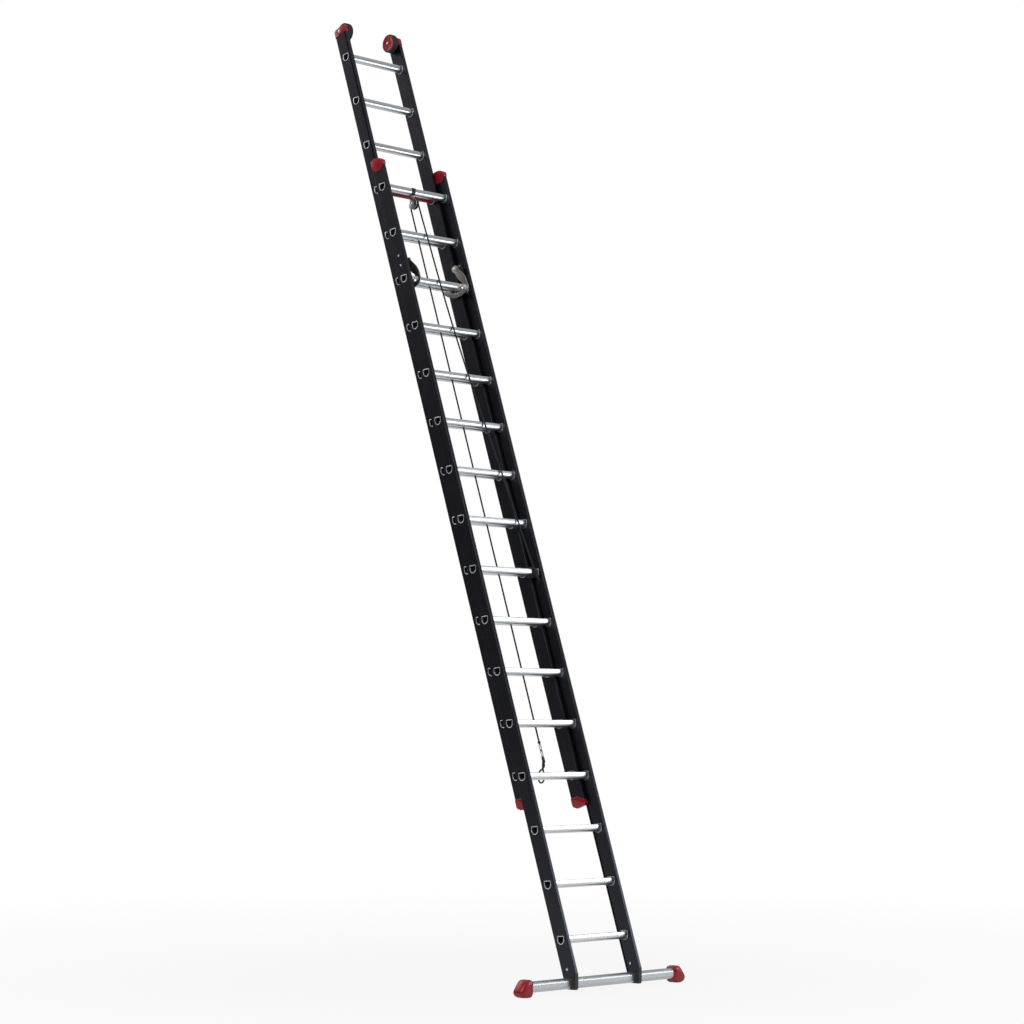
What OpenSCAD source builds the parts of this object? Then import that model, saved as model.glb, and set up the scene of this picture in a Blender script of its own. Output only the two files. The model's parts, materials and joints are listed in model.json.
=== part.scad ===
// Two-section rope-operated extension ladder, drawn as it stands in use, leaning back.
//
// Row frame: X along the rungs, +Y away from the climber, +Z up, zero on the floor at the
// middle of the ladder's footprint. Most pieces are drawn in the ladder's own frame, in which
// X runs along the rungs, Y square to the stiles and away from the climber, and Z up the
// stiles, with zero on the base section's mid-plane one pitch below its first rung.

/* [Ladder] */
// Number of rungs in each section
rung_count = 16; // [12:2:16]
// Distance from one rung to the next along the stiles
rung_pitch = 280; // [250:5:340]
// Width across the outside of the base section's stiles
base_width = 470; // [420:5:570]
// Lean of the standing ladder back from upright, in degrees
lean = 19; // [14:0.5:23]
// Pitches by which the sliding section stands raised
raised = 3; // [1:1:3]

/* [Stiles] */
// Depth of a stile, front to back
stile_depth = 90; // [80:1:110]
// Thickness of a stile across the ladder
stile_thick = 20; // [17:1:26]
// Wall of the stile's hollow section
stile_wall = 2; // [1.6:0.1:3]
// Outside corner radius of a stile
stile_round = 3; // [1:0.5:5]
// Gap between a base stile and the sliding stile beside it
stile_gap = 6; // [5:0.5:10]
// Gap between the base rungs' backs and the sliding stiles' fronts
nest_gap = 1.5; // [1:0.5:6]
// Width of the guide groove along each stile
groove_width = 9; // [7:0.5:12]
// Depth of the guide groove
groove_depth = 4; // [3:0.5:5]
// From the stile's edge to the middle of its guide groove
groove_inset = 11; // [9:0.5:14]
// Base stile left below the first rung
base_below = 180; // [160:5:220]
// Sliding stile left below its first rung
fly_below = 159; // [120:1:200]
// Base stile left above the last rung
base_above = 142; // [120:2:200]
// Sliding stile left above its last rung
fly_above = 151; // [120:1:200]

/* [Rungs] */
// Depth of a rung, front to back
rung_width = 42; // [35:1:46]
// Height of a rung's straight sides, above its half-round underside
rung_side = 16; // [12:1:20]
// Radius of the two edges of the tread
rung_corner = 3; // [2:0.5:5]
// Wall of the rung tube
rung_wall = 1.6; // [1.2:0.1:2.5]
// Width of the swaged rim on a stile's inner web
rim_width = 5; // [3:0.5:6]
// Width of the swaged rim on a stile's outer web
rim_out = 3; // [2:0.5:6]
// How far a rim stands out of the stile's web
rim_proud = 2; // [1:0.5:2.5]
// Turn of the tread from square with the stile, in degrees
tread_tilt = 14; // [8:1:18]

/* [Hooks] */
// Pivot of a hook above the rung that it reaches round
hook_pivot_rise = 114; // [105:1:130]
// Thickness of a hook's plate
hook_thick = 6; // [4:0.5:8]
// Width of the hook's lower arm
hook_arm = 26; // [18:0.5:28]
// Reach of the lower arm past the pivot, in degrees
hook_reach = 53; // [46:1:60]
// Gap between a hook and the sliding stile beside it
hook_gap = 14; // [10:1:20]
// Radius of the pivot pin
hook_pin_r = 6; // [4:0.5:7]

/* [Pulley] */
// Radius of the rope's centre line on the sheave
sheave_pitch_r = 31.5; // [30:0.5:34]
// Radius of the sheave's flanges
sheave_r = 33.5; // [32:0.5:36]
// Thickness of the sheave
sheave_thick = 14; // [12:0.5:18]
// Radius of the sheave's axle
sheave_axle_r = 4; // [3:0.5:6]
// Drop from the top base rung to the sheave's axle
sheave_drop = 68; // [66:1:80]
// Thickness of the rung clip's strap
clip_strap = 2.5; // [2:0.5:4]
// Thickness of one cheek
cheek_thick = 2.5; // [2:0.5:4]

/* [Wheels] */
// Diameter of a wall wheel
wheel_d = 104; // [90:2:130]
// Width of the tyre
tyre_width = 32; // [24:1:40]
// Thickness of the tyre's rubber
tyre_thick = 8; // [6:1:12]
// Radius of the wheel's axle bolt
wheel_axle_r = 5; // [4:0.5:6]
// Axle above the end of the sliding stile
wheel_rise = 18; // [15:1:24]

/* [Plastic caps] */
// Wall of a cap over its stile
cap_wall = 2.5; // [1.5:0.5:3]
// Length of the plug inside the stile
plug_length = 40; // [20:5:60]
// Clearance of a fitted piece on each side
fit = 0.1; // [0.05:0.05:0.3]

/* [Cross bar] */
// Length of the bar seen between its two feet
bar_span = 994; // [800:2:1200]
// Length of a foot along the bar
foot_length = 90; // [80:1:130]
// Depth of the bar, front to back
bar_depth = 50; // [40:1:60]
// Height of the bar
bar_height = 52; // [40:1:60]
// Outside corner radius of the bar
bar_round = 18; // [8:1:20]
// Wall of the bar
bar_wall = 2.5; // [2:0.5:4]
// Bar held off the floor by its feet
bar_lift = 20; // [15:1:30]
// Plastic of a foot round the bar
foot_wall = 10; // [6:1:14]
// Bar inside a foot
foot_socket = 50; // [40:5:60]
// Bracket in front of the bar
bracket_front = 26; // [15:1:32]
// Bracket between the bar's top and the stile's lowest front edge
bracket_top = 25; // [24:1:32]

/* [Rope] */
// Diameter of the rope
rope_d = 9; // [8:1:9]

/* [Hidden] */
$fn = 48;
body_colour = "#2b2d31";
silver = "#c9ccd0";
red = "#8e1220";
black = "#141416";
steel = "#b5b7ba";

running = 0.05;                                  // radial clearance of a turning fit
hook_rung = rung_count - 2;                      // base rung that the hooks reach round
red_rung = rung_count - 3;                       // highest rung meant for standing on

fly_width = base_width - 2 * (stile_thick + stile_gap);
fly_y = rung_width / 2 + nest_gap + stile_depth / 2;       // sliding section's mid-plane
base_inner = base_width / 2 - stile_thick;
fly_inner = fly_width / 2 - stile_thick;
fly_front = fly_y - stile_depth / 2;
fly_back = fly_y + stile_depth / 2;
// the hook holds a rung on a circle round its pivot, so the sliding rungs rest a little high
fly_lift = hook_pivot_rise - sqrt(pow(hook_pivot_rise, 2) - pow(fly_y, 2));

guide_width = groove_width - 2;                  // lip or tongue that runs in a groove
guide_end = 1.5;                                 // how far it stays off the groove's floor

base_bottom = rung_pitch - base_below;
base_top = rung_pitch * rung_count + base_above;
fly_bottom = fly_rung_z(1) - fly_below;
fly_top = fly_rung_z(rung_count) + fly_above;

// sheave and hooks
sheave_x = -24;
sheave_y = 1.5;
sheave_z = base_rung_z(rung_count) - sheave_drop;
hook_z = base_rung_z(hook_rung) + hook_pivot_rise;
hook_out = fly_inner - hook_gap;                 // hook's outer face
hook_in = hook_out - hook_thick;
hook_bolt_rise = [23, -36];                      // bracket bolts above and below the pivot
hook_bolt_r = 4;
hook_arm_in = hook_pivot_rise + rung_width / 2 + 0.5;
hook_arm_out = hook_arm_in + hook_arm;
hook_front = rung_width / 2 + 5;                 // inner edge of the front arm, clear of the tread
clip_half = 12;                                  // half the width of the strap along the rung
cheek_in = sheave_thick / 2 + 1;                 // from the sheave's mid-plane to a cheek
cheek_low_r = 34;                                // round end of a cheek about the axle
cheek_high_r = 24;                               // round end of a cheek under the rung

// wheels
wheel_r = wheel_d / 2;
wheel_y = fly_y + 2.5;
wheel_z = fly_top + wheel_rise;
wheel_out = fly_inner - 5;                       // wheel's face beside the stile
hub_width = tyre_width + 3;
hub_r = wheel_r - tyre_thick;

// floor and footprint, worked out from the lowest front corner of the base stiles
corner = leaned(-stile_depth / 2, base_bottom);
bar_front = corner[0] + bracket_front;
bar_top = corner[1] - bracket_top;
bar_mid_y = bar_front + bar_depth / 2;
bar_mid_z = bar_top - bar_height / 2;
floor_z = bar_top - bar_height - bar_lift;
back_y = leaned(wheel_y, wheel_z)[0] + wheel_r;
shift_y = -(corner[0] + back_y) / 2;
bracket_bolt_r = 4;
bracket_bolt_y = 4;
bracket_bolt_z = base_bottom + 35;

// rope routes, chosen by hand: x, y, z in the ladder frame
haul_top = 4412;
haul_bottom = 1310;
haul_y = 33;
sheave_arc = [
    for (a = [0:18:180])
        [sheave_x, sheave_y + sheave_pitch_r * cos(a), haul_top + sheave_pitch_r * sin(a)]
];
free_route = [
    [-24, -30, 4400], [-22, -30, 4340], [-14, -30, 4160], [-4, -30, 3940], [4, -30, 3800],
    [14, -30, 3660], [26, -30, 3520], [40, -30, 3380], [56, -30, 3240], [74, -30, 3100],
    [92, -30, 2960], [111, -30, 2820], [128, -30, 2680], [145, -30, 2540], [161, -30, 2400],
    [172, -30, 2310], [178, -30.5, 2262], [179, -31, 2240]
];
loop_route = [
    [-24, 33, 1310], [-24, 33, 1280], [-24, 33, 1240], [-24, 34, 1222], [-27, 36, 1206],
    [-34, 37, 1186], [-40, 36, 1162], [-42, 36, 1140], [-41, 42, 1118], [-38, 56, 1108],
    [-34, 70, 1106], [-30, 84, 1110], [-26, 96, 1122], [-22, 100, 1142], [-18, 96, 1160],
    [-14, 84, 1172], [-11, 68, 1178], [-9, 54, 1186], [-10, 48, 1198], [-14, 47, 1210]
];
ferrule_z = [1232, 1268];
ferrule_length = 28;
ferrule_r = 7;
knot_rung = 8;                                   // base rung that the free end is tied to
knot_x = [174.2, 183.8];
knot_gap = 5.7;                                  // from the rung's half-round to a turn's skin

BASE_RUNGS = [for (k = [1:rung_count]) str("base_rung_", two_digits(k))];
// the sliding rungs stand two to a node, and the red one and the top one alone
FLY_GROUPS = concat(
    [for (k = [1:2:red_rung - 2]) [k, k + 1]],
    [[red_rung], [red_rung + 1, red_rung + 2], [rung_count]]
);
FLY_RUNGS = [for (g = FLY_GROUPS) fly_group_name(g)];

function two_digits(k) = str(k < 10 ? "0" : "", k);
function fly_group_name(g) =
    len(g) == 1 ? str("fly_rung_", two_digits(g[0]))
                : str("fly_rungs_", two_digits(g[0]), "_", two_digits(g[1]));
function base_rung_z(k) = rung_pitch * k;
function fly_rung_z(k) = rung_pitch * (k + raised) + fly_lift;
// where a point of the ladder frame lies once the ladder leans back
function leaned(y, z) = [y * cos(lean) + z * sin(lean), z * cos(lean) - y * sin(lean)];

// ---- frames and helpers ----

module stand() translate([0, shift_y, -floor_z]) children();
module on_ladder() stand() rotate([-lean, 0, 0]) children();
module both_sides() {
    children();
    mirror([1, 0, 0]) children();
}
module side(right) mirror([right ? 0 : 1, 0, 0]) children();
// extrudes an outline in Y and Z along X, from x0 to x1
module along_x(x0, x1) translate([x0, 0, 0]) rotate([90, 0, 90]) linear_extrude(x1 - x0) children();
module rod_x(x0, x1, r, y, z, fn = 48)
    translate([x0, y, z]) rotate([0, 90, 0]) cylinder(h = x1 - x0, r = r, $fn = fn);

module rounded_rect(w, h, r) {
    square([w - 2 * r, h], center = true);
    square([w, h - 2 * r], center = true);
    for (i = [-1, 1], j = [-1, 1]) translate([i * (w / 2 - r), j * (h / 2 - r)]) circle(r);
}

// a tube of rope through a list of points, as one closed skin with eight sides
function unit(v) = v / norm(v);
function heading(p, i) = unit(p[min(i + 1, len(p) - 1)] - p[max(i - 1, 0)]);
function ring_side(t) = unit(cross(abs(t[0]) > 0.9 ? [0, 0, 1] : [1, 0, 0], t));
module rope_tube(points) {
    sides = 8;
    last = len(points) - 1;
    rings = [
        for (i = [0:last]) let (t = heading(points, i), u = ring_side(t), v = cross(t, u))
            for (k = [0:sides - 1]) points[i] + rope_d / 2 * (cos(k * 45) * u + sin(k * 45) * v)
    ];
    skin = [
        for (i = [0:last - 1], k = [0:sides - 1])
            [i * sides + k, i * sides + (k + 1) % sides,
             (i + 1) * sides + (k + 1) % sides, (i + 1) * sides + k]
    ];
    ends = [[for (k = [0:sides - 1]) sides - 1 - k], [for (k = [0:sides - 1]) last * sides + k]];
    polyhedron(points = rings, faces = concat([for (f = skin) [f[3], f[2], f[1], f[0]]],
        [for (f = ends) [for (k = [0:sides - 1]) f[sides - 1 - k]]]), convexity = 6);
}

// ---- rungs ----

// flat tread, straight sides and half-round underside, about the middle of the half-round
module rung_profile(grow = 0) {
    r = rung_width / 2 + grow;
    c = rung_corner + grow;
    h = rung_side + grow;
    rotate(tread_tilt) {
        circle(r);
        translate([-r, 0]) square([2 * r, h - c]);
        translate([c - r, 0]) square([2 * (r - c), h]);
        for (i = [-1, 1]) translate([i * (r - c), h - c]) circle(c);
    }
}

// one rung through two stiles of the given overall width, with a swaged rim on every web
module rung(width, y, z) {
    out = width / 2;
    translate([0, y, z]) difference() {
        union() {
            along_x(-out - rim_proud, out + rim_proud) rung_profile();
            both_sides() {
                along_x(out, out + rim_proud) rung_profile(rim_out);
                along_x(out - stile_thick - rim_proud, out - stile_thick) rung_profile(rim_width);
            }
        }
        along_x(-out - rim_proud - 1, out + rim_proud + 1) rung_profile(-rung_wall);
    }
}

module base_rung(k) color(silver) on_ladder() rung(base_width, 0, base_rung_z(k));
module fly_rung(k) color(k == red_rung ? red : silver) on_ladder() rung(fly_width, fly_y, fly_rung_z(k));

// ---- stiles ----

// outline of a stile with its guide groove on the +X web, near the +Y edge
module stile_outline() {
    difference() {
        rounded_rect(stile_thick, stile_depth, stile_round);
        translate([stile_thick / 2 - groove_depth, stile_depth / 2 - groove_inset - groove_width / 2])
            square([groove_depth + 1, groove_width]);
    }
}

// the hollow inside a stile, drawn smaller all round for a plug that fits in it
module stile_hollow(inset = 0) {
    w = stile_thick - 2 * stile_wall - 2 * inset;
    d = stile_depth - 2 * stile_wall - 2 * inset;
    land = groove_width + 2 * stile_wall + 2 * inset;
    difference() {
        square([w, d], center = true);
        translate([stile_thick / 2 - groove_depth - stile_wall - inset,
                   stile_depth / 2 - groove_inset - land / 2])
            square([stile_thick, land]);
    }
}

module base_stile() {
    difference() {
        translate([base_inner + stile_thick / 2, 0, base_bottom]) mirror([1, 0, 0])
            linear_extrude(base_top - base_bottom) difference() {
                stile_outline();
                stile_hollow();
            }
        for (k = [1:rung_count]) translate([0, 0, base_rung_z(k)])
            along_x(base_inner - 1, base_width / 2 + 1) rung_profile(running);
        for (rise = hook_bolt_rise)
            rod_x(base_inner - 1, base_width / 2 + 1, hook_bolt_r + fit, 0, hook_z + rise);
        rod_x(base_inner - 1, base_width / 2 + 1, bracket_bolt_r + fit, bracket_bolt_y, bracket_bolt_z);
    }
}

module fly_stile() {
    difference() {
        translate([fly_inner + stile_thick / 2, fly_y, fly_bottom]) mirror([0, 1, 0])
            linear_extrude(fly_top - fly_bottom) difference() {
                stile_outline();
                stile_hollow();
            }
        for (k = [1:rung_count]) translate([0, fly_y, fly_rung_z(k)])
            along_x(fly_inner - 1, fly_width / 2 + 1) rung_profile(running);
    }
}

module base_stile_side(right) color(body_colour) on_ladder() side(right) base_stile();
module fly_stile_side(right) color(body_colour) on_ladder() side(right) fly_stile();

// ---- plastic end caps ----

// cap over the top of a base stile, with a lip that runs in the sliding stile's groove
module base_top_cap(right) color(red) on_ladder() side(right) {
    back = stile_depth / 2 + cap_wall;
    lip_y = fly_front + groove_inset;
    difference() {
        union() {
            along_x(base_inner - cap_wall, base_width / 2 + cap_wall)
                translate([0, base_top]) polygon([[-back, -14], [-back, 3], [-back + 8, 11], [-20, 27],
                    [4, 34], [26, 36], [back - 6, 31], [back, 24], [back, -4], [24, -40],
                    [-10, -43], [-34, -34]]);
            translate([fly_width / 2 - groove_depth + guide_end, lip_y - guide_width / 2, base_top - 45])
                cube([base_inner - fly_width / 2 + groove_depth - guide_end, guide_width, 50]);
        }
        translate([base_inner - fit, -stile_depth / 2 - fit, base_top - 60])
            cube([stile_thick + 2 * fit, stile_depth + 2 * fit, 60 + fit]);
    }
    translate([base_inner + stile_thick / 2, 0, base_top - plug_length]) mirror([1, 0, 0])
        linear_extrude(plug_length + 1) stile_hollow(fit);
}

// block on top of a sliding stile, which carries the wall wheel's axle
module fly_top_cap(right) color(red) on_ladder() side(right) {
    back = fly_back + 2;
    difference() {
        union() {
            along_x(fly_inner - cap_wall, fly_width / 2 + cap_wall)
                translate([0, fly_top]) polygon([[fly_front, -6], [fly_front, 27], [fly_front + 5, 36],
                    [fly_front + 16, 41], [back - 12, 40], [back - 4, 35], [back, 26], [back, -6]]);
            translate([fly_inner + stile_thick / 2, fly_y, fly_top - plug_length]) mirror([0, 1, 0])
                linear_extrude(plug_length + 1) stile_hollow(fit);
        }
        difference() {
            translate([fly_inner - fit, fly_front - 1, fly_top - 7])
                cube([stile_thick + 2 * fit, stile_depth + 1 + fit, 7 + fit]);
            translate([fly_inner + stile_thick / 2, fly_y, fly_top - 8]) mirror([0, 1, 0])
                linear_extrude(9) stile_hollow(fit);
        }
        rod_x(fly_inner - cap_wall - 1, fly_width / 2 + cap_wall + 1, wheel_axle_r + fit, wheel_y, wheel_z);
    }
}

// foot under a sliding stile, with a tongue that runs in the base stile's groove
module fly_foot(right) color(red) on_ladder() side(right) {
    back = fly_back + cap_wall;
    tongue_y = stile_depth / 2 - groove_inset;
    difference() {
        union() {
            along_x(fly_inner - cap_wall, fly_width / 2 + cap_wall)
                translate([0, fly_bottom]) polygon([[fly_front, 18], [fly_front, -6], [fly_front + 8, -12],
                    [back - 24, -12], [back, 8], [back, 48], [fly_front + 40, 44]]);
            translate([fly_width / 2, tongue_y - guide_width / 2, fly_bottom - 4])
                cube([base_inner - fly_width / 2 + groove_depth - guide_end, guide_width, 36]);
        }
        translate([fly_inner - fit, fly_front - 1, fly_bottom - fit])
            cube([stile_thick + 2 * fit, stile_depth + 1 + fit, 90]);
    }
    translate([fly_inner + stile_thick / 2, fly_y, fly_bottom - 1]) mirror([0, 1, 0])
        linear_extrude(plug_length + 1) stile_hollow(fit);
}

// ---- cross bar at the foot ----

module bar_profile(grow = 0) translate([bar_mid_y, bar_mid_z])
    rounded_rect(bar_depth + 2 * grow, bar_height + 2 * grow, bar_round + grow);

module stabiliser_bar() color(silver) stand()
    along_x(-bar_span / 2 - foot_socket, bar_span / 2 + foot_socket) difference() {
        bar_profile();
        bar_profile(-bar_wall);
    }

// foot at one end of the bar, flat underneath, round in plan and with a slanted end
module stabiliser_foot(right) color(red) stand() side(right) {
    x = bar_span / 2;
    top = bar_top + foot_wall + 1;
    depth = bar_depth + 2 * foot_wall;
    end = x + foot_length;
    difference() {
        intersection() {
            translate([0, bar_mid_y + depth / 2, 0]) rotate([90, 0, 0]) linear_extrude(depth)
                polygon([[x, floor_z + 20], [x + 14, floor_z], [end - 24, floor_z], [end - 8, floor_z + 8],
                         [end, floor_z + 24], [end - 6, floor_z + 40], [end - 30, top - 3],
                         [end - 42, top], [x + 10, top], [x, top - 7]]);
            translate([x + foot_length / 2, bar_mid_y, floor_z - 1])
                linear_extrude(top - floor_z + 2) rounded_rect(foot_length, depth, 26);
        }
        along_x(x - 1, x + foot_socket + fit) bar_profile(fit);
    }
}

// bracket that closes a base stile's lower end and clamps the bar to it
module foot_bracket(right) color(black) stand() side(right) {
    back_low = leaned(stile_depth / 2, base_bottom);
    clamp_low = bar_top - bar_height - 3;            // underside of the clamp below the bar
    front = corner[0];
    difference() {
        union() {
            along_x(base_inner, base_width / 2) difference() {
                polygon([corner, [front, clamp_low + 9], [front + 6, clamp_low],
                         [bar_mid_y + 6, clamp_low], [bar_mid_y + 6, bar_mid_z],
                         [bar_front + bar_depth + 7, bar_mid_z], back_low]);
                bar_profile(fit);
            }
            rotate([-lean, 0, 0]) translate([base_inner + stile_thick / 2, 0, base_bottom - 1])
                mirror([1, 0, 0]) linear_extrude(plug_length + 20) stile_hollow(fit);
        }
        rotate([-lean, 0, 0])
            rod_x(base_inner - 1, base_width / 2 + 1, bracket_bolt_r + fit, bracket_bolt_y, bracket_bolt_z);
        along_x(base_inner - 1, base_width / 2 + 1) bar_profile(fit);
    }
}

// bolt through a base stile, with a domed head outside and a nut inside
module through_bolt(x_nut, r, y, z, head = 2) {
    out = base_width / 2;
    rod_x(x_nut, out + 1, r, y, z);
    rod_x(out, out + 4, r + head, y, z);
    rod_x(x_nut, x_nut + 5, r + head + 1, y, z, 6);
}

module bracket_bolts() color(steel) on_ladder() both_sides()
    through_bolt(base_inner - 5, bracket_bolt_r, bracket_bolt_y, bracket_bolt_z);

// ---- hooks ----

// plate of a hook about its pivot: eye, front arm and a lower arm concentric with the pivot
module hook_outline() {
    far = 2 * hook_arm_out;
    rise = hook_pivot_rise;
    out = hook_front + 37;                       // front of the arm
    turn_r = 30;                                 // bend from the front arm to the lower one
    translate([3, 0]) rounded_rect(44, 36, 6);
    difference() {
        union() {
            polygon([[-19, -2], [-0.48 * out, -0.22 * rise], [-0.67 * out, -0.37 * rise],
                     [-0.84 * out, -0.53 * rise], [-0.95 * out, -0.72 * rise], [-out, -0.92 * rise],
                     [-out, -rise - 11], [-hook_front, -rise - 20], [-hook_front, -rise + 18],
                     [-0.3 * hook_front, -0.65 * rise], [2, -0.45 * rise], [9, -0.23 * rise], [25, -8]]);
            translate([turn_r - out, -rise - 11]) circle(turn_r);
        }
        intersection() {
            circle(hook_arm_in);
            translate([-hook_front, -far]) square([far, far - rise + 18]);
        }
    }
    intersection() {
        difference() {
            circle(hook_arm_out);
            circle(hook_arm_in);
        }
        polygon([[0, 0], far * [-sin(17), -cos(17)], far * [0, -1.4],
                 far * [sin(hook_reach), -cos(hook_reach)]]);
    }
    rotate(hook_reach) translate([0, -hook_arm_in - hook_arm / 2]) circle(hook_arm / 2);
}

module hook(right) color(steel) on_ladder() side(right) translate([0, 0, hook_z]) difference() {
    along_x(hook_in, hook_out) hook_outline();
    rod_x(hook_in - 1, hook_out + 1, hook_pin_r + running, 0, 0);
}

// plate on a base stile's inner web with a boss that holds the hook's pin
module hook_brackets() color(black) on_ladder() both_sides() difference() {
    middle = (hook_bolt_rise[0] + hook_bolt_rise[1]) / 2;
    union() {
        rod_x(hook_out + 0.3, base_inner, 14, 0, hook_z);
        along_x(base_inner - 4, base_inner) translate([0, hook_z + middle])
            rounded_rect(34, hook_bolt_rise[0] - hook_bolt_rise[1] + 30, 8);
    }
    rod_x(hook_out - 1, base_inner + 1, hook_pin_r + fit, 0, hook_z);
    for (rise = hook_bolt_rise) rod_x(hook_out - 1, base_inner + 1, hook_bolt_r + fit, 0, hook_z + rise);
}

module hook_bolts() color(steel) on_ladder() both_sides() for (rise = hook_bolt_rise)
    through_bolt(base_inner - 9, hook_bolt_r, 0, hook_z + rise);

// headed pins that the hooks swing on
module hook_pins() color(steel) on_ladder() both_sides() {
    rod_x(hook_in - 5.3, base_inner - fit, hook_pin_r, 0, hook_z);
    rod_x(hook_in - 5.3, hook_in - 0.3, hook_pin_r + 3, 0, hook_z);
}

// ---- pulley on the top base rung ----

module pulley_clip() color(black) on_ladder()
    translate([sheave_x, 0, base_rung_z(rung_count)]) along_x(-clip_half, clip_half) difference() {
        rung_profile(clip_strap + fit);
        rung_profile(fit);
    }

module pulley_cheeks() color(silver) on_ladder() translate([sheave_x, sheave_y, sheave_z]) {
    top = sheave_drop - sheave_y - rung_width / 2 - clip_strap - 2;
    yoke_low = sheave_pitch_r + rope_d / 2 + 1.5;
    difference() {
        union() {
            both_sides() along_x(cheek_in, cheek_in + cheek_thick) {
                circle(cheek_low_r);
                translate([0, top - cheek_high_r]) circle(cheek_high_r);
                translate([-cheek_high_r, 0]) square([2 * cheek_high_r, top - cheek_high_r]);
            }
            translate([-cheek_in - 1, -10, yoke_low]) cube([2 * cheek_in + 2, 20, top - yoke_low]);
        }
        rod_x(-cheek_in - 5, cheek_in + 5, sheave_axle_r + fit, 0, 0);
    }
}

module pulley_axle() color(steel) on_ladder() translate([sheave_x, sheave_y, sheave_z]) {
    out = cheek_in + cheek_thick;
    rod_x(-out - 2, out + 2, sheave_axle_r, 0, 0);
    both_sides() rod_x(out, out + 2, sheave_axle_r + 3, 0, 0);
}

module sheave() color(black) on_ladder() translate([sheave_x, sheave_y, sheave_z]) rotate([0, 90, 0])
    rotate_extrude($fn = 96) difference() {
        translate([sheave_axle_r + running, -sheave_thick / 2])
            square([sheave_r - sheave_axle_r - running, sheave_thick]);
        translate([sheave_pitch_r, 0]) circle(rope_d / 2 + 0.8);
    }

// ---- wall wheels ----

module wheel_at(right) on_ladder() side(right)
    translate([wheel_out - hub_width, wheel_y, wheel_z]) rotate([0, 90, 0]) children();

module wheel_tyre(right) color(body_colour) wheel_at(right) translate([0, 0, 1.5])
    rotate_extrude($fn = 96) difference() {
        translate([hub_r, 0]) square([tyre_thick, tyre_width]);
        for (z = [0, tyre_width]) translate([wheel_r, z]) rotate(45) square(5, center = true);
    }

// red hub: a disc on the side that faces inward, a rim under the tyre and a boss
module wheel_hub(right) color(red) wheel_at(right) rotate_extrude($fn = 96) {
    bore = wheel_axle_r + running;
    translate([bore, 0]) square([hub_r - bore, 6]);
    translate([bore, 0]) square([14 - bore, hub_width]);
    translate([hub_r - 4, 0]) square([4, hub_width]);
}

module wheel_axles() color(steel) on_ladder() both_sides() {
    out = fly_width / 2 + cap_wall;
    low = wheel_out - hub_width - 6;
    rod_x(low, out + 1, wheel_axle_r, wheel_y, wheel_z);
    rod_x(out, out + 3, wheel_axle_r + 4, wheel_y, wheel_z);
    rod_x(low, low + 5.5, wheel_axle_r + 4, wheel_y, wheel_z, 6);
}

// ---- rope ----

module rope_haul_leg() color(black) on_ladder()
    rope_tube([for (i = [0:12]) [sheave_x, haul_y, haul_top + (haul_bottom - haul_top) * i / 12]]);

module rope_free_leg() color(black) on_ladder() rope_tube(concat(sheave_arc, free_route));

module rope_loop() color(black) on_ladder() rope_tube(loop_route);

// two crimped sleeves that close the loop above the lowest sliding rung
module rope_ferrules() color(silver) on_ladder() for (z = ferrule_z)
    translate([sheave_x, haul_y, z]) difference() {
        cylinder(h = ferrule_length, r = ferrule_r);
        translate([0, 0, -1]) cylinder(h = ferrule_length + 2, r = rope_d / 2 + fit);
    }

// two turns round a base rung that make the free end fast
module rope_end_knot() color(black) on_ladder() for (x = knot_x)
    translate([x, 0, base_rung_z(knot_rung)]) rotate([0, 90, 0])
        rotate_extrude($fn = 64) translate([rung_width / 2 + knot_gap + rope_d / 2, 0])
            circle(rope_d / 2, $fn = 24);

// ---- nodes ----

for (k = [1:rung_count]) base_rung(k);
for (i = [0:len(FLY_GROUPS) - 1]) for (k = FLY_GROUPS[i]) fly_rung(k);
base_stile_side(false);  // base_stile_left
base_stile_side(true);  // base_stile_right
base_top_cap(false);  // base_top_cap_left
base_top_cap(true);  // base_top_cap_right
foot_bracket(false);  // foot_bracket_left
foot_bracket(true);  // foot_bracket_right
bracket_bolts();
stabiliser_bar();
stabiliser_foot(false);  // stabiliser_foot_left
stabiliser_foot(true);  // stabiliser_foot_right
hook(false);  // hook_left
hook(true);  // hook_right
hook_brackets();
hook_bolts();
hook_pins();
pulley_clip();
pulley_cheeks();
pulley_axle();
sheave();
fly_stile_side(false);  // fly_stile_left
fly_stile_side(true);  // fly_stile_right
fly_top_cap(false);  // fly_top_cap_left
fly_top_cap(true);  // fly_top_cap_right
fly_foot(false);  // fly_foot_left
fly_foot(true);  // fly_foot_right
wheel_tyre(false);  // wheel_tyre_left
wheel_tyre(true);  // wheel_tyre_right
wheel_hub(false);  // wheel_hub_left
wheel_hub(true);  // wheel_hub_right
wheel_axles();
rope_haul_leg();
rope_free_leg();
rope_loop();
rope_ferrules();
rope_end_knot();
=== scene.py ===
import json
import math
import bmesh
import bpy
from mathutils import Matrix, Vector


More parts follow.
